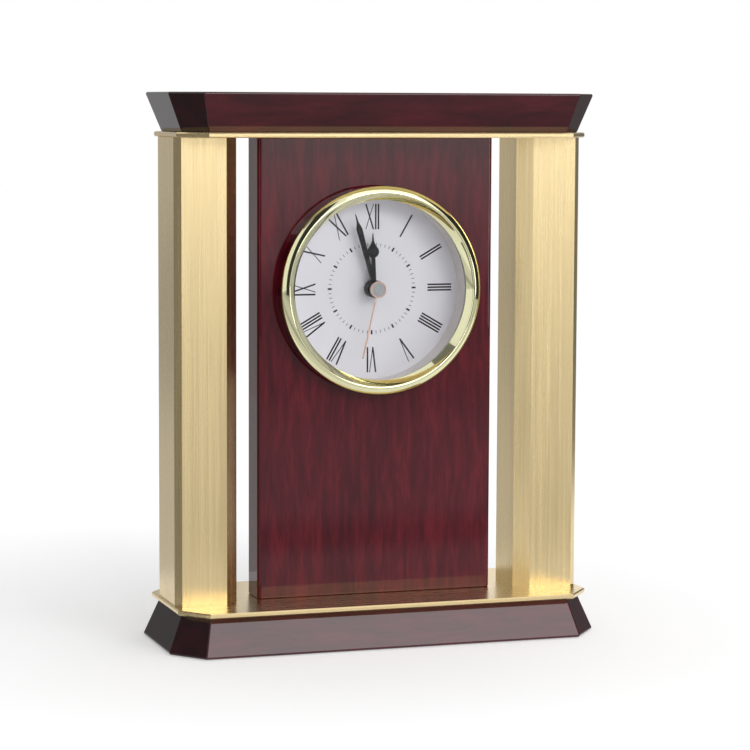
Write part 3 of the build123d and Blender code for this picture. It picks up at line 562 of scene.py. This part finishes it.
class CLOCK_OT_brass(bpy.types.Operator):
    """Gives the columns, the plates and the small brass pieces their finish"""

    bl_idname = "clock.brass"
    bl_label = "Finish the brass"

    def execute(self, context):
        brass = context.scene.clock_brass
        up, along = (1400, 1400, 14), (14, 1400, 1400)
        give(brushed_brass("brass_brushed_upright", up, brass.brushed), "left_column", "right_column")
        give(brushed_brass("brass_brushed_along", along, brass.brushed), "lower_plate", "upper_plate")
        give(turned_metal("brass_small_turned", brass.turned, 0.25), "crown_inserts", "cannon_pinion")
        return {"FINISHED"}


def arc_along(bm, start, middle, end, steps):
    """Edges from the vertex start, through middle, to end, on one circle of a section."""
    a, b, c = start.co.copy(), Vector((*middle, 0)), Vector((*end, 0))
    ab, cb = a - b, c - b
    across = ab.cross(cb)
    towards = cb.length_squared * cb.cross(across) * -1 + ab.length_squared * ab.cross(across)
    centre = b + towards * -1 / (2 * across.length_squared)
    first, last = a - centre, c - centre
    axis = first.cross(last).normalized()
    bmesh.ops.spin(
        bm, geom=[start], cent=centre, axis=axis, angle=first.angle(last), steps=steps, dvec=(0, 0, 0)
    )
    bm.verts.ensure_lookup_table()
    return min(bm.verts, key=lambda v: (v.co - c).length)


def line_on(bm, start, *points):
    """Straight edges from the vertex start through more points of a section."""
    for point in points:
        vert = bm.verts.new((*point, 0))
        bm.edges.new((start, vert))
        start = vert
    return start


# The bezel's section and how finely it is drawn

RIM_DEPTH = 1.4 * MM
RIDGE_RADIUS = 40.5 * MM
RIDGE_ROUND = 0.35 * MM
OUTER_DROP, INNER_DROP = 0.02 * MM, 0.22 * MM
MOUTH_RADIUS = 37.8 * MM
BULGE = 0.2 * MM
SKIRT_WALL = 0.6 * MM
SLOPE_STEPS, RIDGE_STEPS, BEZEL_STEPS = 14, 6, 180


class CLOCK_OT_bezel(bpy.types.Operator):
    """Turns the polished bezel in place of the plain one"""

    bl_idname = "clock.bezel"
    bl_label = "Turn the bezel"

    def execute(self, context):
        """Draws the section as (radius, depth): rim, two bulging slopes, mouth and skirt."""
        low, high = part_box("bezel")
        glass_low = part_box("glass_lens")[0]
        boss_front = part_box("dial_boss")[0].y
        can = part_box("clock_can")[1].x
        outer, front = high.x, low.y
        rim_front, skirt = boss_front - RIM_DEPTH, can + SKIRT_WALL
        ridge, mouth = RIDGE_RADIUS, MOUTH_RADIUS
        bm = bmesh.new()
        start = bm.verts.new((outer, boss_front, 0))
        turn = line_on(bm, start, (outer, rim_front))
        half = ((outer + ridge) / 2 + BULGE, (rim_front + front) / 2 - BULGE)
        turn = arc_along(bm, turn, half, (ridge + RIDGE_ROUND, front + OUTER_DROP), SLOPE_STEPS)
        end = (ridge - RIDGE_ROUND, front + INNER_DROP)
        turn = arc_along(bm, turn, (ridge, front), end, RIDGE_STEPS)
        half = ((mouth + ridge) / 2 + BULGE, (boss_front + front) / 2 - BULGE)
        turn = arc_along(bm, turn, half, (mouth, boss_front), SLOPE_STEPS)
        turn = line_on(bm, turn, (mouth, glass_low.y), (can, glass_low.y), (can, high.y),
                       (skirt, high.y), (skirt, boss_front))
        bm.edges.new((turn, start))
        spun(bm, centre=(0, 0, 0), axis=(0, 1, 0), steps=BEZEL_STEPS)
        bmesh.ops.translate(bm, verts=bm.verts, vec=(0, 0, DIAL_CENTRE.z))
        polished = turned_metal(
            "polished_bezel_brass", context.scene.clock_brass.polished, roughness=0.06,
            lines=5000, depth=1e-6, contrast=0.03,
        )
        piece = finish_piece(bm, "turned_bezel", polished, sharp=50)
        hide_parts("bezel")
        return {"FINISHED"}


# The numerals, with the widths of the letters and the gaps between them in millimetres

NUMERALS = ("I", "II", "III", "IIII", "V", "VI", "VII", "VIII", "IX", "X", "XI", "XII")
LETTER_WIDTHS = {"I": 0, "V": 2.7, "X": 3.4}
LETTER_GAPS = {"II": 1.2, "VI": 0.95, "IX": 1, "XI": 1}
# A stroke's start and end as shares of the width, its setting and its share of the ink's height
STROKES = {"I": [(0.5, 0.5, "thick_stroke", 1)],
           "V": [(0.5, 0, "thick_stroke", 1), (0.5, 1, "thin_stroke", 0.9)],
           "X": [(1, 0, "thick_stroke", 1), (0, 1, "thin_stroke", 0.9)]}


def raised_bar(bm, ends, radii, width, turn, height):
    """A raised bar on the dial between two radii, at a clock angle, its ends moved sideways."""
    half = width / 2
    corners = [(ends[0] - half, radii[0]), (ends[0] + half, radii[0]),
               (ends[1] + half, radii[1]), (ends[1] - half, radii[1])]
    verts = raised(bm, corners, DIAL_FRONT, -height)
    around = Matrix.Translation((0, 0, DIAL_CENTRE.z)) @ Matrix.Rotation(turn, 4, "Y")
    bmesh.ops.transform(bm, matrix=around, verts=verts)


def numeral(bm, letters, turn, dial):
    """One numeral, with its top outwards and thick strokes running down to the right."""
    radii = (dial.numeral_inner, dial.numeral_outer)
    gaps = [LETTER_GAPS[pair] for pair in map("".join, zip(letters, letters[1:]))]
    at = -(sum(LETTER_WIDTHS[letter] for letter in letters) + sum(gaps)) / 2 * MM
    for letter, gap in zip(letters, gaps + [0]):
        wide = LETTER_WIDTHS[letter] * MM
        for start, end, stroke, share in STROKES[letter]:
            ends = (at + wide * start, at + wide * end)
            raised_bar(bm, ends, radii, getattr(dial, stroke), turn, dial.ink_height * share)
        at += wide + gap * MM


class CLOCK_OT_dial(bpy.types.Operator):
    """Finishes the dial, its ring and the glass, and prints the numerals and minute track"""

    bl_idname = "clock.dial"
    bl_label = "Print the dial"

    def execute(self, context):
        dial = context.scene.clock_dial
        give(dial_paint(dial.silver), "dial_plate")
        give(moulded("pale_grey_ring", (0.84, 0.79, 0.77), 0.4, grains=3000, depth=5e-6), "inner_ring")
        give(clear_glass(), "glass_lens")
        ink = moulded("black_dial_ink", dial.ink, 0.45, 4000, depth=4e-6, Specular_IOR_Level=0.2)
        pale = moulded("grey_dial_ink", dial.pale_ink, 0.5, grains=4000, depth=4e-6)
        figures, bars, ticks = bmesh.new(), bmesh.new(), bmesh.new()
        for hour, letters in enumerate(NUMERALS, 1):
            numeral(figures, letters, hour * math.tau / 12, dial)
        for minute in range(60):
            bm, length, width = ticks, dial.tick_length, dial.tick_width
            if minute % 5 == 0:
                bm, length, width = bars, dial.bar_length, dial.bar_width
            radii = (dial.track_radius - length / 2, dial.track_radius + length / 2)
            raised_bar(bm, (0, 0), radii, width, minute * math.tau / 60, dial.ink_height)
        finish_piece(figures, "dial_numerals", ink)
        finish_piece(bars, "dial_hour_bars", ink)
        finish_piece(ticks, "dial_minute_ticks", pale)
        return {"FINISHED"}


class CLOCK_OT_hands(bpy.types.Operator):
    """Gives the hands, their hubs and the cap their finish"""

    bl_idname = "clock.hands"
    bl_label = "Finish the hands"

    def execute(self, context):
        blued = moulded(
            "blue_black_hands", (0.009, 0.009, 0.011), 0.36, grains=3500, depth=4e-6,
            Specular_IOR_Level=0.2,
        )
        give(blued, "hour_hand", "minute_hand", "seconds_hub")
        copper = turned_metal("copper_hand", (0.48, 0.31, 0.25), 0.25, lines=6000, depth=2e-6)
        give(copper, "seconds_hand")
        cap = turned_metal("grey_turned_cap", (0.27, 0.27, 0.28), 0.3, lines=7000, contrast=0.25)
        give(cap, "cap_face")
        return {"FINISHED"}


class CLOCK_OT_fittings(bpy.types.Operator):
    """Gives the rods, the screws, the metal can and its gasket their finish"""

    bl_idname = "clock.fittings"
    bl_label = "Finish the rods and screws"

    def execute(self, context):
        zinc = sheet_metal("zinc_plated_steel", (0.6, 0.61, 0.63), roughness=0.32)
        give(zinc, "tie_rods", "tie_rod_nuts", "tie_rod_washers", "panel_screws_lower",
             "panel_screws_upper", "seconds_arbor")
        can = turned_metal("drawn_can_steel", (0.62, 0.62, 0.63), 0.3, lines=1800, contrast=0.12)
        give(can, "clock_can")
        give(moulded("black_rubber", (0.022, 0.022, 0.022), 0.7, grains=1500), "rubber_gasket")
        return {"FINISHED"}


class CLOCK_OT_movement(bpy.types.Operator):
    """Gives the case, wheels and electric parts of the movement their finish"""

    bl_idname = "clock.movement"
    bl_label = "Finish the movement"

    def execute(self, context):
        black = moulded("black_moulded_case", (0.02, 0.02, 0.022), 0.42, grains=1400, depth=4e-5)
        give(black, "movement_front_plate", "movement_cover", "setting_knob")
        acetal = moulded(
            "natural_acetal", (0.8, 0.79, 0.74), 0.38, grains=2200, depth=1e-5,
            Subsurface_Weight=0.05,
        )
        give(acetal, "third_wheel", "intermediate_wheel", "seconds_wheel", "centre_wheel",
             "minute_wheel", "hour_wheel", "rotor_pinion", "setting_pinion")
        give(moulded("bridge_plastic", (0.72, 0.72, 0.68), roughness=0.45), "train_bridge")
        give(moulded("bobbin_plastic", (0.7, 0.66, 0.55), roughness=0.4), "coil_bobbin")
        give(circuit_board_finish(), "circuit_board")
        give(moulded("black_resin", (0.015, 0.015, 0.016), 0.12, grains=700, depth=4e-5), "chip_cover")
        give(sheet_metal("crystal_can", (0.7, 0.71, 0.72), roughness=0.25), "crystal")
        give(sheet_metal("soft_iron", (0.46, 0.46, 0.45), roughness=0.45), "stator", "coil_core")
        give(moulded("dark_magnet", (0.1, 0.1, 0.11), 0.4, grains=1200, Metallic=0.6), "rotor_magnet")
        give(wound_wire(), "coil_winding")
        nickel = sheet_metal("nickel_contacts", (0.72, 0.7, 0.66), roughness=0.2)
        give(nickel, "positive_contact", "negative_contact")
        return {"FINISHED"}


def spun_along_x(bm, section, centre, closed=False):
    """Spins a section, drawn as (place along X, radius), round an axis along X."""
    verts = [bm.verts.new((along, centre.y, centre.z + radius)) for along, radius in section]
    ends = verts[1:] + verts[:1] if closed else verts[1:]
    for first, second in zip(verts, ends):
        bm.edges.new((first, second))
    spun(bm, centre, axis=(1, 0, 0), steps=64)


class CLOCK_OT_battery(bpy.types.Operator):
    """Makes the battery's steel can and printed sleeve in place of the plain cell"""

    bl_idname = "clock.battery"
    bl_label = "Dress the battery"

    def execute(self, context):
        """Draws the can from its flat end, over the shoulders, to the button."""
        low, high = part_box("battery_cell")
        centre = (low + high) / 2
        radius, button, bevel = (high.z - low.z) / 2, 2.75 * MM, 0.25 * MM
        button_height, edge, shoulder = 1.3 * MM, 0.1 * MM, 0.5 * MM
        left, right = low.x, high.x - button_height
        groove, dip = left + 0.3 * MM, right - 0.35 * MM
        section = [
            (left, 0), (left, 0.62 * radius), (groove, 0.68 * radius), (groove, 0.86 * radius),
            (left, 0.9 * radius), (left + edge, 0.95 * radius),
            (left + shoulder, 0.98 * radius), (right - shoulder, 0.98 * radius),
            (right - edge, 0.95 * radius), (right - edge, 0.88 * radius),
            (dip, 0.82 * radius), (dip, 0.48 * radius), (right, button),
            (high.x - bevel, button), (high.x, button - bevel), (high.x, 0),
        ]
        can = bmesh.new()
        spun_along_x(can, section, centre)
        steel = sheet_metal("nickel_battery_can", (0.7, 0.69, 0.66), roughness=0.22)
        piece = finish_piece(can, "battery_can", steel, sharp=25)
        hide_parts("battery_cell")
        first, last, inside = left + 0.7 * MM, right - 0.8 * MM, 0.982 * radius
        section = [(first, inside), (first + edge, radius), (last - edge, radius), (last, inside)]
        sleeve = bmesh.new()
        spun_along_x(sleeve, section, centre, closed=True)
        printed = sleeve_print(first, last)
        piece = finish_piece(sleeve, "battery_printed_sleeve", printed, sharp=50)
        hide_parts("battery_cell")
        return {"FINISHED"}


# The case screws, in shares of the head's radius and height

RIM_SHARE = 0.72
BEVEL_SPREAD = 1.22
ARM_LENGTH = 0.58
ARM_HALF_WIDTH = 0.15
RECESS_DEPTH = 0.6
RECESS_TAPER = 0.8
BEVEL_DROP, SHOULDER_DROP, SIDE_DROP = 0.12, 0.28, 0.6
# Radians, and radians to a metre along X
CROSS_TURN, TURN_ALONG = 0.4, 30


def pushed(bm, edges, shift, spread_by=1):
    """Extrudes a ring of edges, moves the new ring along Z and widens it; returns its edges."""
    made = bmesh.ops.extrude_edge_only(bm, edges=edges)["geom"]
    verts = only(bmesh.types.BMVert, made)
    bmesh.ops.scale(bm, vec=(spread_by, spread_by, 1), verts=verts)
    bmesh.ops.translate(bm, vec=(0, 0, shift), verts=verts)
    return only(bmesh.types.BMEdge, made)


def cross_recess_screw(head, shank, tall, length):
    """A pan-head screw with a cross recess, its axis along Z and its head's underside at zero."""
    bm = bmesh.new()
    arm, wide = ARM_LENGTH * head, ARM_HALF_WIDTH * head
    rim = bmesh.ops.create_circle(bm, segments=36, radius=RIM_SHARE * head)["verts"]
    bmesh.ops.translate(bm, vec=(0, 0, tall), verts=rim)
    rim_edges = list(bm.edges)
    outline = []
    for turn in range(4):
        corner = Matrix.Rotation(turn * math.pi / 2, 2)
        for point in ((arm, -wide), (arm, wide), (wide, wide)):
            outline.append(bm.verts.new((*(corner @ Vector(point)), tall)))
    cross_edges = [bm.edges.new(pair) for pair in zip(outline, outline[1:] + outline[:1])]
    bmesh.ops.bridge_loops(bm, edges=rim_edges + cross_edges)
    cross = bm.faces.new(outline)
    made = bmesh.ops.extrude_face_region(bm, geom=[cross])["geom"]
    floor = only(bmesh.types.BMVert, made)
    bmesh.ops.delete(bm, geom=[cross], context="FACES_ONLY")
    bmesh.ops.scale(bm, vec=(RECESS_TAPER, RECESS_TAPER, 1), verts=floor)
    bmesh.ops.translate(bm, vec=(0, 0, -RECESS_DEPTH * tall), verts=floor)
    edges = pushed(bm, rim_edges, -BEVEL_DROP * tall, BEVEL_SPREAD)
    edges = pushed(bm, edges, -SHOULDER_DROP * tall, 1 / (RIM_SHARE * BEVEL_SPREAD))
    edges = pushed(bm, edges, -SIDE_DROP * tall)
    edges = pushed(bm, edges, 0, shank / head)
    edges = pushed(bm, edges, -length)
    bmesh.ops.holes_fill(bm, edges=edges, sides=0)
    return bm


class CLOCK_OT_screws(bpy.types.Operator):
    """Makes the two screws of the movement's case, with cross recesses"""

    bl_idname = "clock.screws"
    bl_label = "Cut the case screws"

    def execute(self, context):
        """Sets each screw in its hole, with its cross at a turn of its own."""
        low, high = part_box("movement_screws")
        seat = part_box("movement_cover")[1].y
        head, shank, z = 2 * MM, 1 * MM, (low.z + high.z) / 2
        both = bmesh.new()
        for x in (low.x + head, high.x - head):
            screw = cross_recess_screw(head, shank, high.y - seat, seat - low.y)
            own_turn = Matrix.Rotation(CROSS_TURN + TURN_ALONG * x, 3, "Z")
            bmesh.ops.rotate(screw, verts=screw.verts, matrix=own_turn)
            place = Matrix.Translation((x, seat, z)) @ Matrix.Rotation(math.radians(-90), 4, "X")
            bmesh.ops.transform(screw, verts=screw.verts, matrix=place)
            part = bpy.data.meshes.new("screw")
            screw.to_mesh(part)
            screw.free()
            both.from_mesh(part)
            bpy.data.meshes.remove(part)
        zinc = bpy.data.materials["zinc_plated_steel"]
        piece = finish_piece(both, "cross_recess_screws", zinc, sharp=35)
        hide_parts("movement_screws")
        return {"FINISHED"}


# The marks on the cover

MARK_HEIGHT, MARK_LINE = 0.22 * MM, 0.55 * MM
SIGN_PLACE, SIGN_LIFT, SIGN_WIDTH = 22 * MM, 3.2 * MM, 2.6 * MM
STUB_LENGTH, STUB_PLACE = 1 * MM, 0.8 * MM
ARC_RADIUS, ARC_TURN, ARC_STEPS = 8.2 * MM, -math.radians(150), 30
BARB, ARROW_LENGTH = 1 * MM, 2.2 * MM


def block(x, z, width, height):
    """The corners of a block round (x, z)."""
    left, right, low, top = x - width / 2, x + width / 2, z - height / 2, z + height / 2
    return [(left, low), (right, low), (right, top), (left, top)]


class CLOCK_OT_marks(bpy.types.Operator):
    """Moulds plus, minus and turning marks on the back of the movement's case"""

    bl_idname = "clock.marks"
    bl_label = "Mould the marks"

    def execute(self, context):
        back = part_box("movement_cover")[1].y
        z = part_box("battery_cell")[1].z + SIGN_LIFT
        bm = bmesh.new()
        self.signs(bm, back, z)
        knob_low, knob_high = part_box("setting_knob")
        self.arrow(bm, back, (knob_low + knob_high) / 2)
        paint = moulded("grey_mark_paint", (0.38, 0.38, 0.38), 0.55, grains=2400, depth=1e-5)
        finish_piece(bm, "cover_marks", paint)
        return {"FINISHED"}

    def signs(self, bm, back, z):
        """A plus and a minus above the ends of the battery."""
        for x, up, width, height in (
                (SIGN_PLACE, 0, SIGN_WIDTH, MARK_LINE),
                (SIGN_PLACE, STUB_PLACE, MARK_LINE, STUB_LENGTH),
                (SIGN_PLACE, -STUB_PLACE, MARK_LINE, STUB_LENGTH),
                (-SIGN_PLACE, 0, SIGN_WIDTH, MARK_LINE)):
            raised(bm, block(x, z + up, width, height), back, MARK_HEIGHT)

    def arrow(self, bm, back, centre):
        """An arc with an arrowhead round the setting knob."""
        reach, line, low = ARC_RADIUS, MARK_LINE, centre.z - MARK_LINE / 2
        strip = [bm.verts.new((centre.x + reach, y, low)) for y in (back, back + MARK_HEIGHT)]
        outer = [bm.verts.new((centre.x + reach + line, v.co.y, v.co.z)) for v in strip]
        face = bm.faces.new((strip[0], strip[1], outer[1], outer[0]))
        whole = list(face.verts) + list(face.edges) + [face]
        pivot = (centre.x, back, low)
        bmesh.ops.spin(
            bm, geom=whole, cent=pivot, axis=(0, 1, 0), angle=ARC_TURN, steps=ARC_STEPS, dvec=(0, 0, 0)
        )
        tip = Matrix.Translation(pivot) @ Matrix.Rotation(ARC_TURN, 4, "Y")
        head = [(reach - BARB, 0), (reach + line + BARB, 0), (reach + line / 2, ARROW_LENGTH)]
        corners = [tip @ Vector((x, 0, z)) for x, z in head]
        raised(bm, [(corner.x, corner.z) for corner in corners], back, MARK_HEIGHT)


# Studio, in metres; the camera turns by a yaw, a pitch and a roll in degrees

CAMERA_PLACE = (-0.36025, -1.09081, 0.22629)
CAMERA_TURN = (18.378, -5.734, 0.245)
CAMERA_LENS = 130.63
CAMERA_SENSOR = 36
CAMERA_REACH = 50
FLOOR_HALF = 6
GLOW_LOW, GLOW_HIGH, GLOW_START, GLOW_END = 0.42, 0.62, 0.1, 0.34
SKY_LEFT, SKY_RIGHT = 0.25, 1.75


def stage_piece(bm, name, material):
    """Turns a bmesh into an object for the studio, with one material."""
    piece = new_object(bm, name, material)
    return piece


def seen_rays(tree):
    """1 for rays that show the background: from the camera, off metal and through glass."""
    path = put(tree, "LightPath").outputs
    first = calculated(tree, "MAXIMUM", path["Is Camera Ray"], path["Is Glossy Ray"])
    return calculated(tree, "MAXIMUM", first, path["Is Transmission Ray"])


def card(name, corners, grey, stops=None, strength=1):
    """A card that only reflections see; stops are greys along Y, from its front to its back."""
    material, tree, surface = bare_material(name)
    glow = put(tree, "Emission", {"Color": (grey, grey, grey, 1), "Strength": strength})
    if stops:
        depth = along_axis(tree, object_place(tree), "Y")
        along = spread(tree, depth, low=0, high=1, start=corners[0][1], end=corners[-1][1])
        colours = ramp(tree, along, [(place, (tone, tone, tone)) for place, tone in stops])
        tree.links.new(colours, glow.inputs["Color"])
    tree.links.new(glow.outputs[0], surface)
    bm = bmesh.new()
    bm.faces.new([bm.verts.new(corner) for corner in corners])
    piece = stage_piece(bm, name, material)
    for rays in ("camera", "diffuse", "transmission", "shadow", "volume_scatter"):
        setattr(piece, "visible_" + rays, False)


def upright(x0, y0, x1, y1, z0, z1):
    """Corners of a card that stands on a line from (x0, y0) to (x1, y1)."""
    return [(x0, y0, z0), (x1, y1, z0), (x1, y1, z1), (x0, y0, z1)]


def lying(x0, y0, x1, y1, z):
    """Corners of a level card."""
    return [(x0, y0, z), (x1, y0, z), (x1, y1, z), (x0, y1, z)]


def soft_lamp(name, place, target, size, power):
    """A rectangular lamp that points at a target."""
    light = bpy.data.lights.new(name, "AREA")
    light.shape = "RECTANGLE"
    light.size, light.size_y = size
    light.energy = power
    lamp = bpy.data.objects.new(name, light)
    lamp.location = place
    ahead = Vector(target) - Vector(place)
    lamp.rotation_euler = ahead.to_track_quat("-Z", "Y").to_euler()
    lamp.visible_camera = False
    bpy.context.scene.collection.objects.link(lamp)


class CLOCK_OT_stage(bpy.types.Operator):
    """Sets up the floor, the room light, the cards, the lamps and the camera"""

    bl_idname = "clock.stage"
    bl_label = "Set up the studio"

    def execute(self, context):
        stage = context.scene.clock_stage
        self.floor(stage)
        self.room(context.scene, stage)
        self.cards()
        self.lamps(stage)
        self.camera(context.scene)
        context.scene.view_settings.view_transform = "Standard"
        return {"FINISHED"}

    def floor(self, stage):
        """A matt floor that glows more with the distance, for rays that show the background; its weaker
        glow near the clock is painted shade round it.
        """
        material, tree, surface = bare_material("pale_floor")
        paint = put(tree, "BsdfDiffuse", {"Color": stage.floor})
        glow = put(tree, "Emission", {"Color": (1, 1, 1, 1)})
        inputs = {0: object_place(tree)}
        reach = put(tree, "VectorMath", inputs, operation="LENGTH").outputs["Value"]
        # Weaker glow near the clock: painted shade round it
        glowing = spread(tree, reach, GLOW_LOW, GLOW_HIGH, GLOW_START, GLOW_END)
        lift = calculated(tree, "MULTIPLY", seen_rays(tree), glowing)
        tree.links.new(lift, glow.inputs["Strength"])
        both = put(tree, "AddShader", {0: paint.outputs[0], 1: glow.outputs[0]})
        tree.links.new(both.outputs[0], surface)
        bm = bmesh.new()
        bmesh.ops.create_grid(bm, x_segments=1, y_segments=1, size=FLOOR_HALF)
        stage_piece(bm, "floor", material)

    def room(self, scene, stage):
        """Light from all round, stronger from the right; the background itself is white."""
        scene.world = bpy.data.worlds.new("room")
        scene.world.use_nodes = True
        tree = scene.world.node_tree
        back = tree.nodes["Background"]
        back.inputs["Color"].default_value = (1, 1, 1, 1)
        side = put(tree, "TexCoord").outputs["Generated"]
        across = along_axis(tree, side, "X")
        sky = spread(tree, across, stage.sky * SKY_LEFT, stage.sky * SKY_RIGHT, start=-1, end=1)
        strength = spread(tree, seen_rays(tree), low=sky, high=1, start=0, end=1)
        tree.links.new(strength, back.inputs["Strength"])

    def cards(self):
        """Cards for the brass and the lacquer to mirror."""
        card("dark_card_left", upright(-0.15, -0.047, -0.15, 0.1, 0, 0.24), 0.22)
        card("dark_card_base", upright(-0.56, 0.88, -0.345, 0.88, 0, 0.13), 0.2)
        card("dark_card_front_left", upright(-1.08, -1.1, -0.36, -1.54, 0, 2.3), 0.04)
        card("dark_card_right", upright(0.42, -0.32, 0.42, 0.02, 0.09, 0.66), 0.03)
        card("dark_card_right_back", upright(0.55, -0.05, 0.55, 0.6, 0, 0.6), 0.2)
        card("dark_card_top_left", lying(-0.8, -0.52, -0.34, 0.12, 0.95), 0.2)
        card("pale_card_top", lying(0, -1.1, 1.1, -0.38, 1), 1.6)
        sheen = [(0.4, -2.6, 0.05), (1.5, -2.6, 0.05), (1.5, -3.2, 0.4), (0.4, -3.2, 0.4)]
        card("grey_card_front", upright(-0.6, -3.5, 2.4, -3.5, 0.42, 1.5), 0.5)
        rising = [(0, 0.5), (0.45, 0.9), (1, 1)]
        card("pale_card_front", sheen, 1, rising, strength=2.2)
        card("dark_card_back", upright(-1.8, 0.9, 0.2, 0.9, 0, 1.2), 0.52)
        card("grey_table_back", lying(-2, 0.15, 2, 0.9, 0.002), 0.58)
        fading = [(0, 0.85), (0.3, 0.45), (0.66, 0.48), (0.8, 0.66), (0.9, 0.66),
                  (0.93, 0.4), (0.945, 0.4), (0.965, 0.72), (0.985, 0.72), (1, 0.8)]
        card("grey_table_front", lying(-2, -2.6, 2.5, -0.1, 0.002), 1, fading)

    def lamps(self, stage):
        """Each lamp with its place, the point that it faces and its size."""
        for name, place, target, size in (
                ("key_lamp", (0.47, -1.2, 0.81), (0.04, -0.03, 0.03), (0.62, 0.36)),
                ("fill_lamp", (0.36, -1.42, 0.66), (0, 0, 0.14), (1, 0.44)),
                ("strip_lamp", (-0.2, -1.46, 0.62), (0, 0, 0.12), (0.16, 0.6)),
                ("top_lamp", (0.32, -1, 1.2), (0, 0, 0.05), (0.7, 0.36)),
                ("side_lamp", (0.92, -0.88, 0.13), (0, 0, 0.14), (0.26, 0.2))):
            soft_lamp(name, place, target, size, getattr(stage, name))

    def camera(self, scene):
        """The camera of the photograph."""
        data = bpy.data.cameras.new("camera")
        data.sensor_width = CAMERA_SENSOR
        data.sensor_fit = "HORIZONTAL"
        data.lens = CAMERA_LENS
        data.clip_end = CAMERA_REACH
        camera = bpy.data.objects.new("camera", data)
        yaw, pitch, roll = map(math.radians, CAMERA_TURN)
        level = math.cos(pitch)
        ahead = Vector((math.sin(yaw) * level, math.cos(yaw) * level, math.sin(pitch)))
        right = Vector((math.cos(yaw), -math.sin(yaw), 0))
        up = right.cross(ahead)
        x_axis = math.cos(roll) * right + math.sin(roll) * up
        y_axis = math.cos(roll) * up - math.sin(roll) * right
        turn = Matrix((x_axis, y_axis, -ahead)).transposed()
        camera.matrix_world = Matrix.Translation(CAMERA_PLACE) @ turn.to_4x4()
        scene.collection.objects.link(camera)
        scene.camera = camera


OPERATORS = [CLOCK_OT_stage, CLOCK_OT_wood, CLOCK_OT_brass, CLOCK_OT_bezel, CLOCK_OT_dial,
             CLOCK_OT_hands, CLOCK_OT_fittings, CLOCK_OT_movement, CLOCK_OT_battery,
             CLOCK_OT_screws, CLOCK_OT_marks]
SETTINGS = {"clock_wood": ClockWoodSettings, "clock_brass": ClockBrassSettings,
            "clock_dial": ClockDialSettings, "clock_stage": ClockStageSettings}


class CLOCK_PT_panel(bpy.types.Panel):
    """Lists the settings and the steps that dress the clock"""

    bl_idname = "CLOCK_PT_panel"
    bl_label = "Desk clock"
    bl_space_type = "VIEW_3D"
    bl_region_type = "UI"
    bl_category = "Desk clock"

    def draw(self, context):
        for name in SETTINGS:
            box = self.layout.box()
            group = getattr(context.scene, name)
            for field in group.__annotations__:
                box.prop(group, field)
        for operator in OPERATORS:
            self.layout.operator(operator.bl_idname)


def register():
    for name, group in SETTINGS.items():
        bpy.utils.register_class(group)
        setattr(bpy.types.Scene, name, bpy.props.PointerProperty(type=group))
    for operator in OPERATORS:
        bpy.utils.register_class(operator)
    bpy.utils.register_class(CLOCK_PT_panel)


def unregister():
    bpy.utils.unregister_class(CLOCK_PT_panel)
    for operator in reversed(OPERATORS):
        bpy.utils.unregister_class(operator)
    for name, group in SETTINGS.items():
        delattr(bpy.types.Scene, name)
        bpy.utils.unregister_class(group)


def main():
    register()
    for operator in OPERATORS:
        group, name = operator.bl_idname.split(".")
        getattr(getattr(bpy.ops, group), name)()


if __name__ == "__main__":
    main()
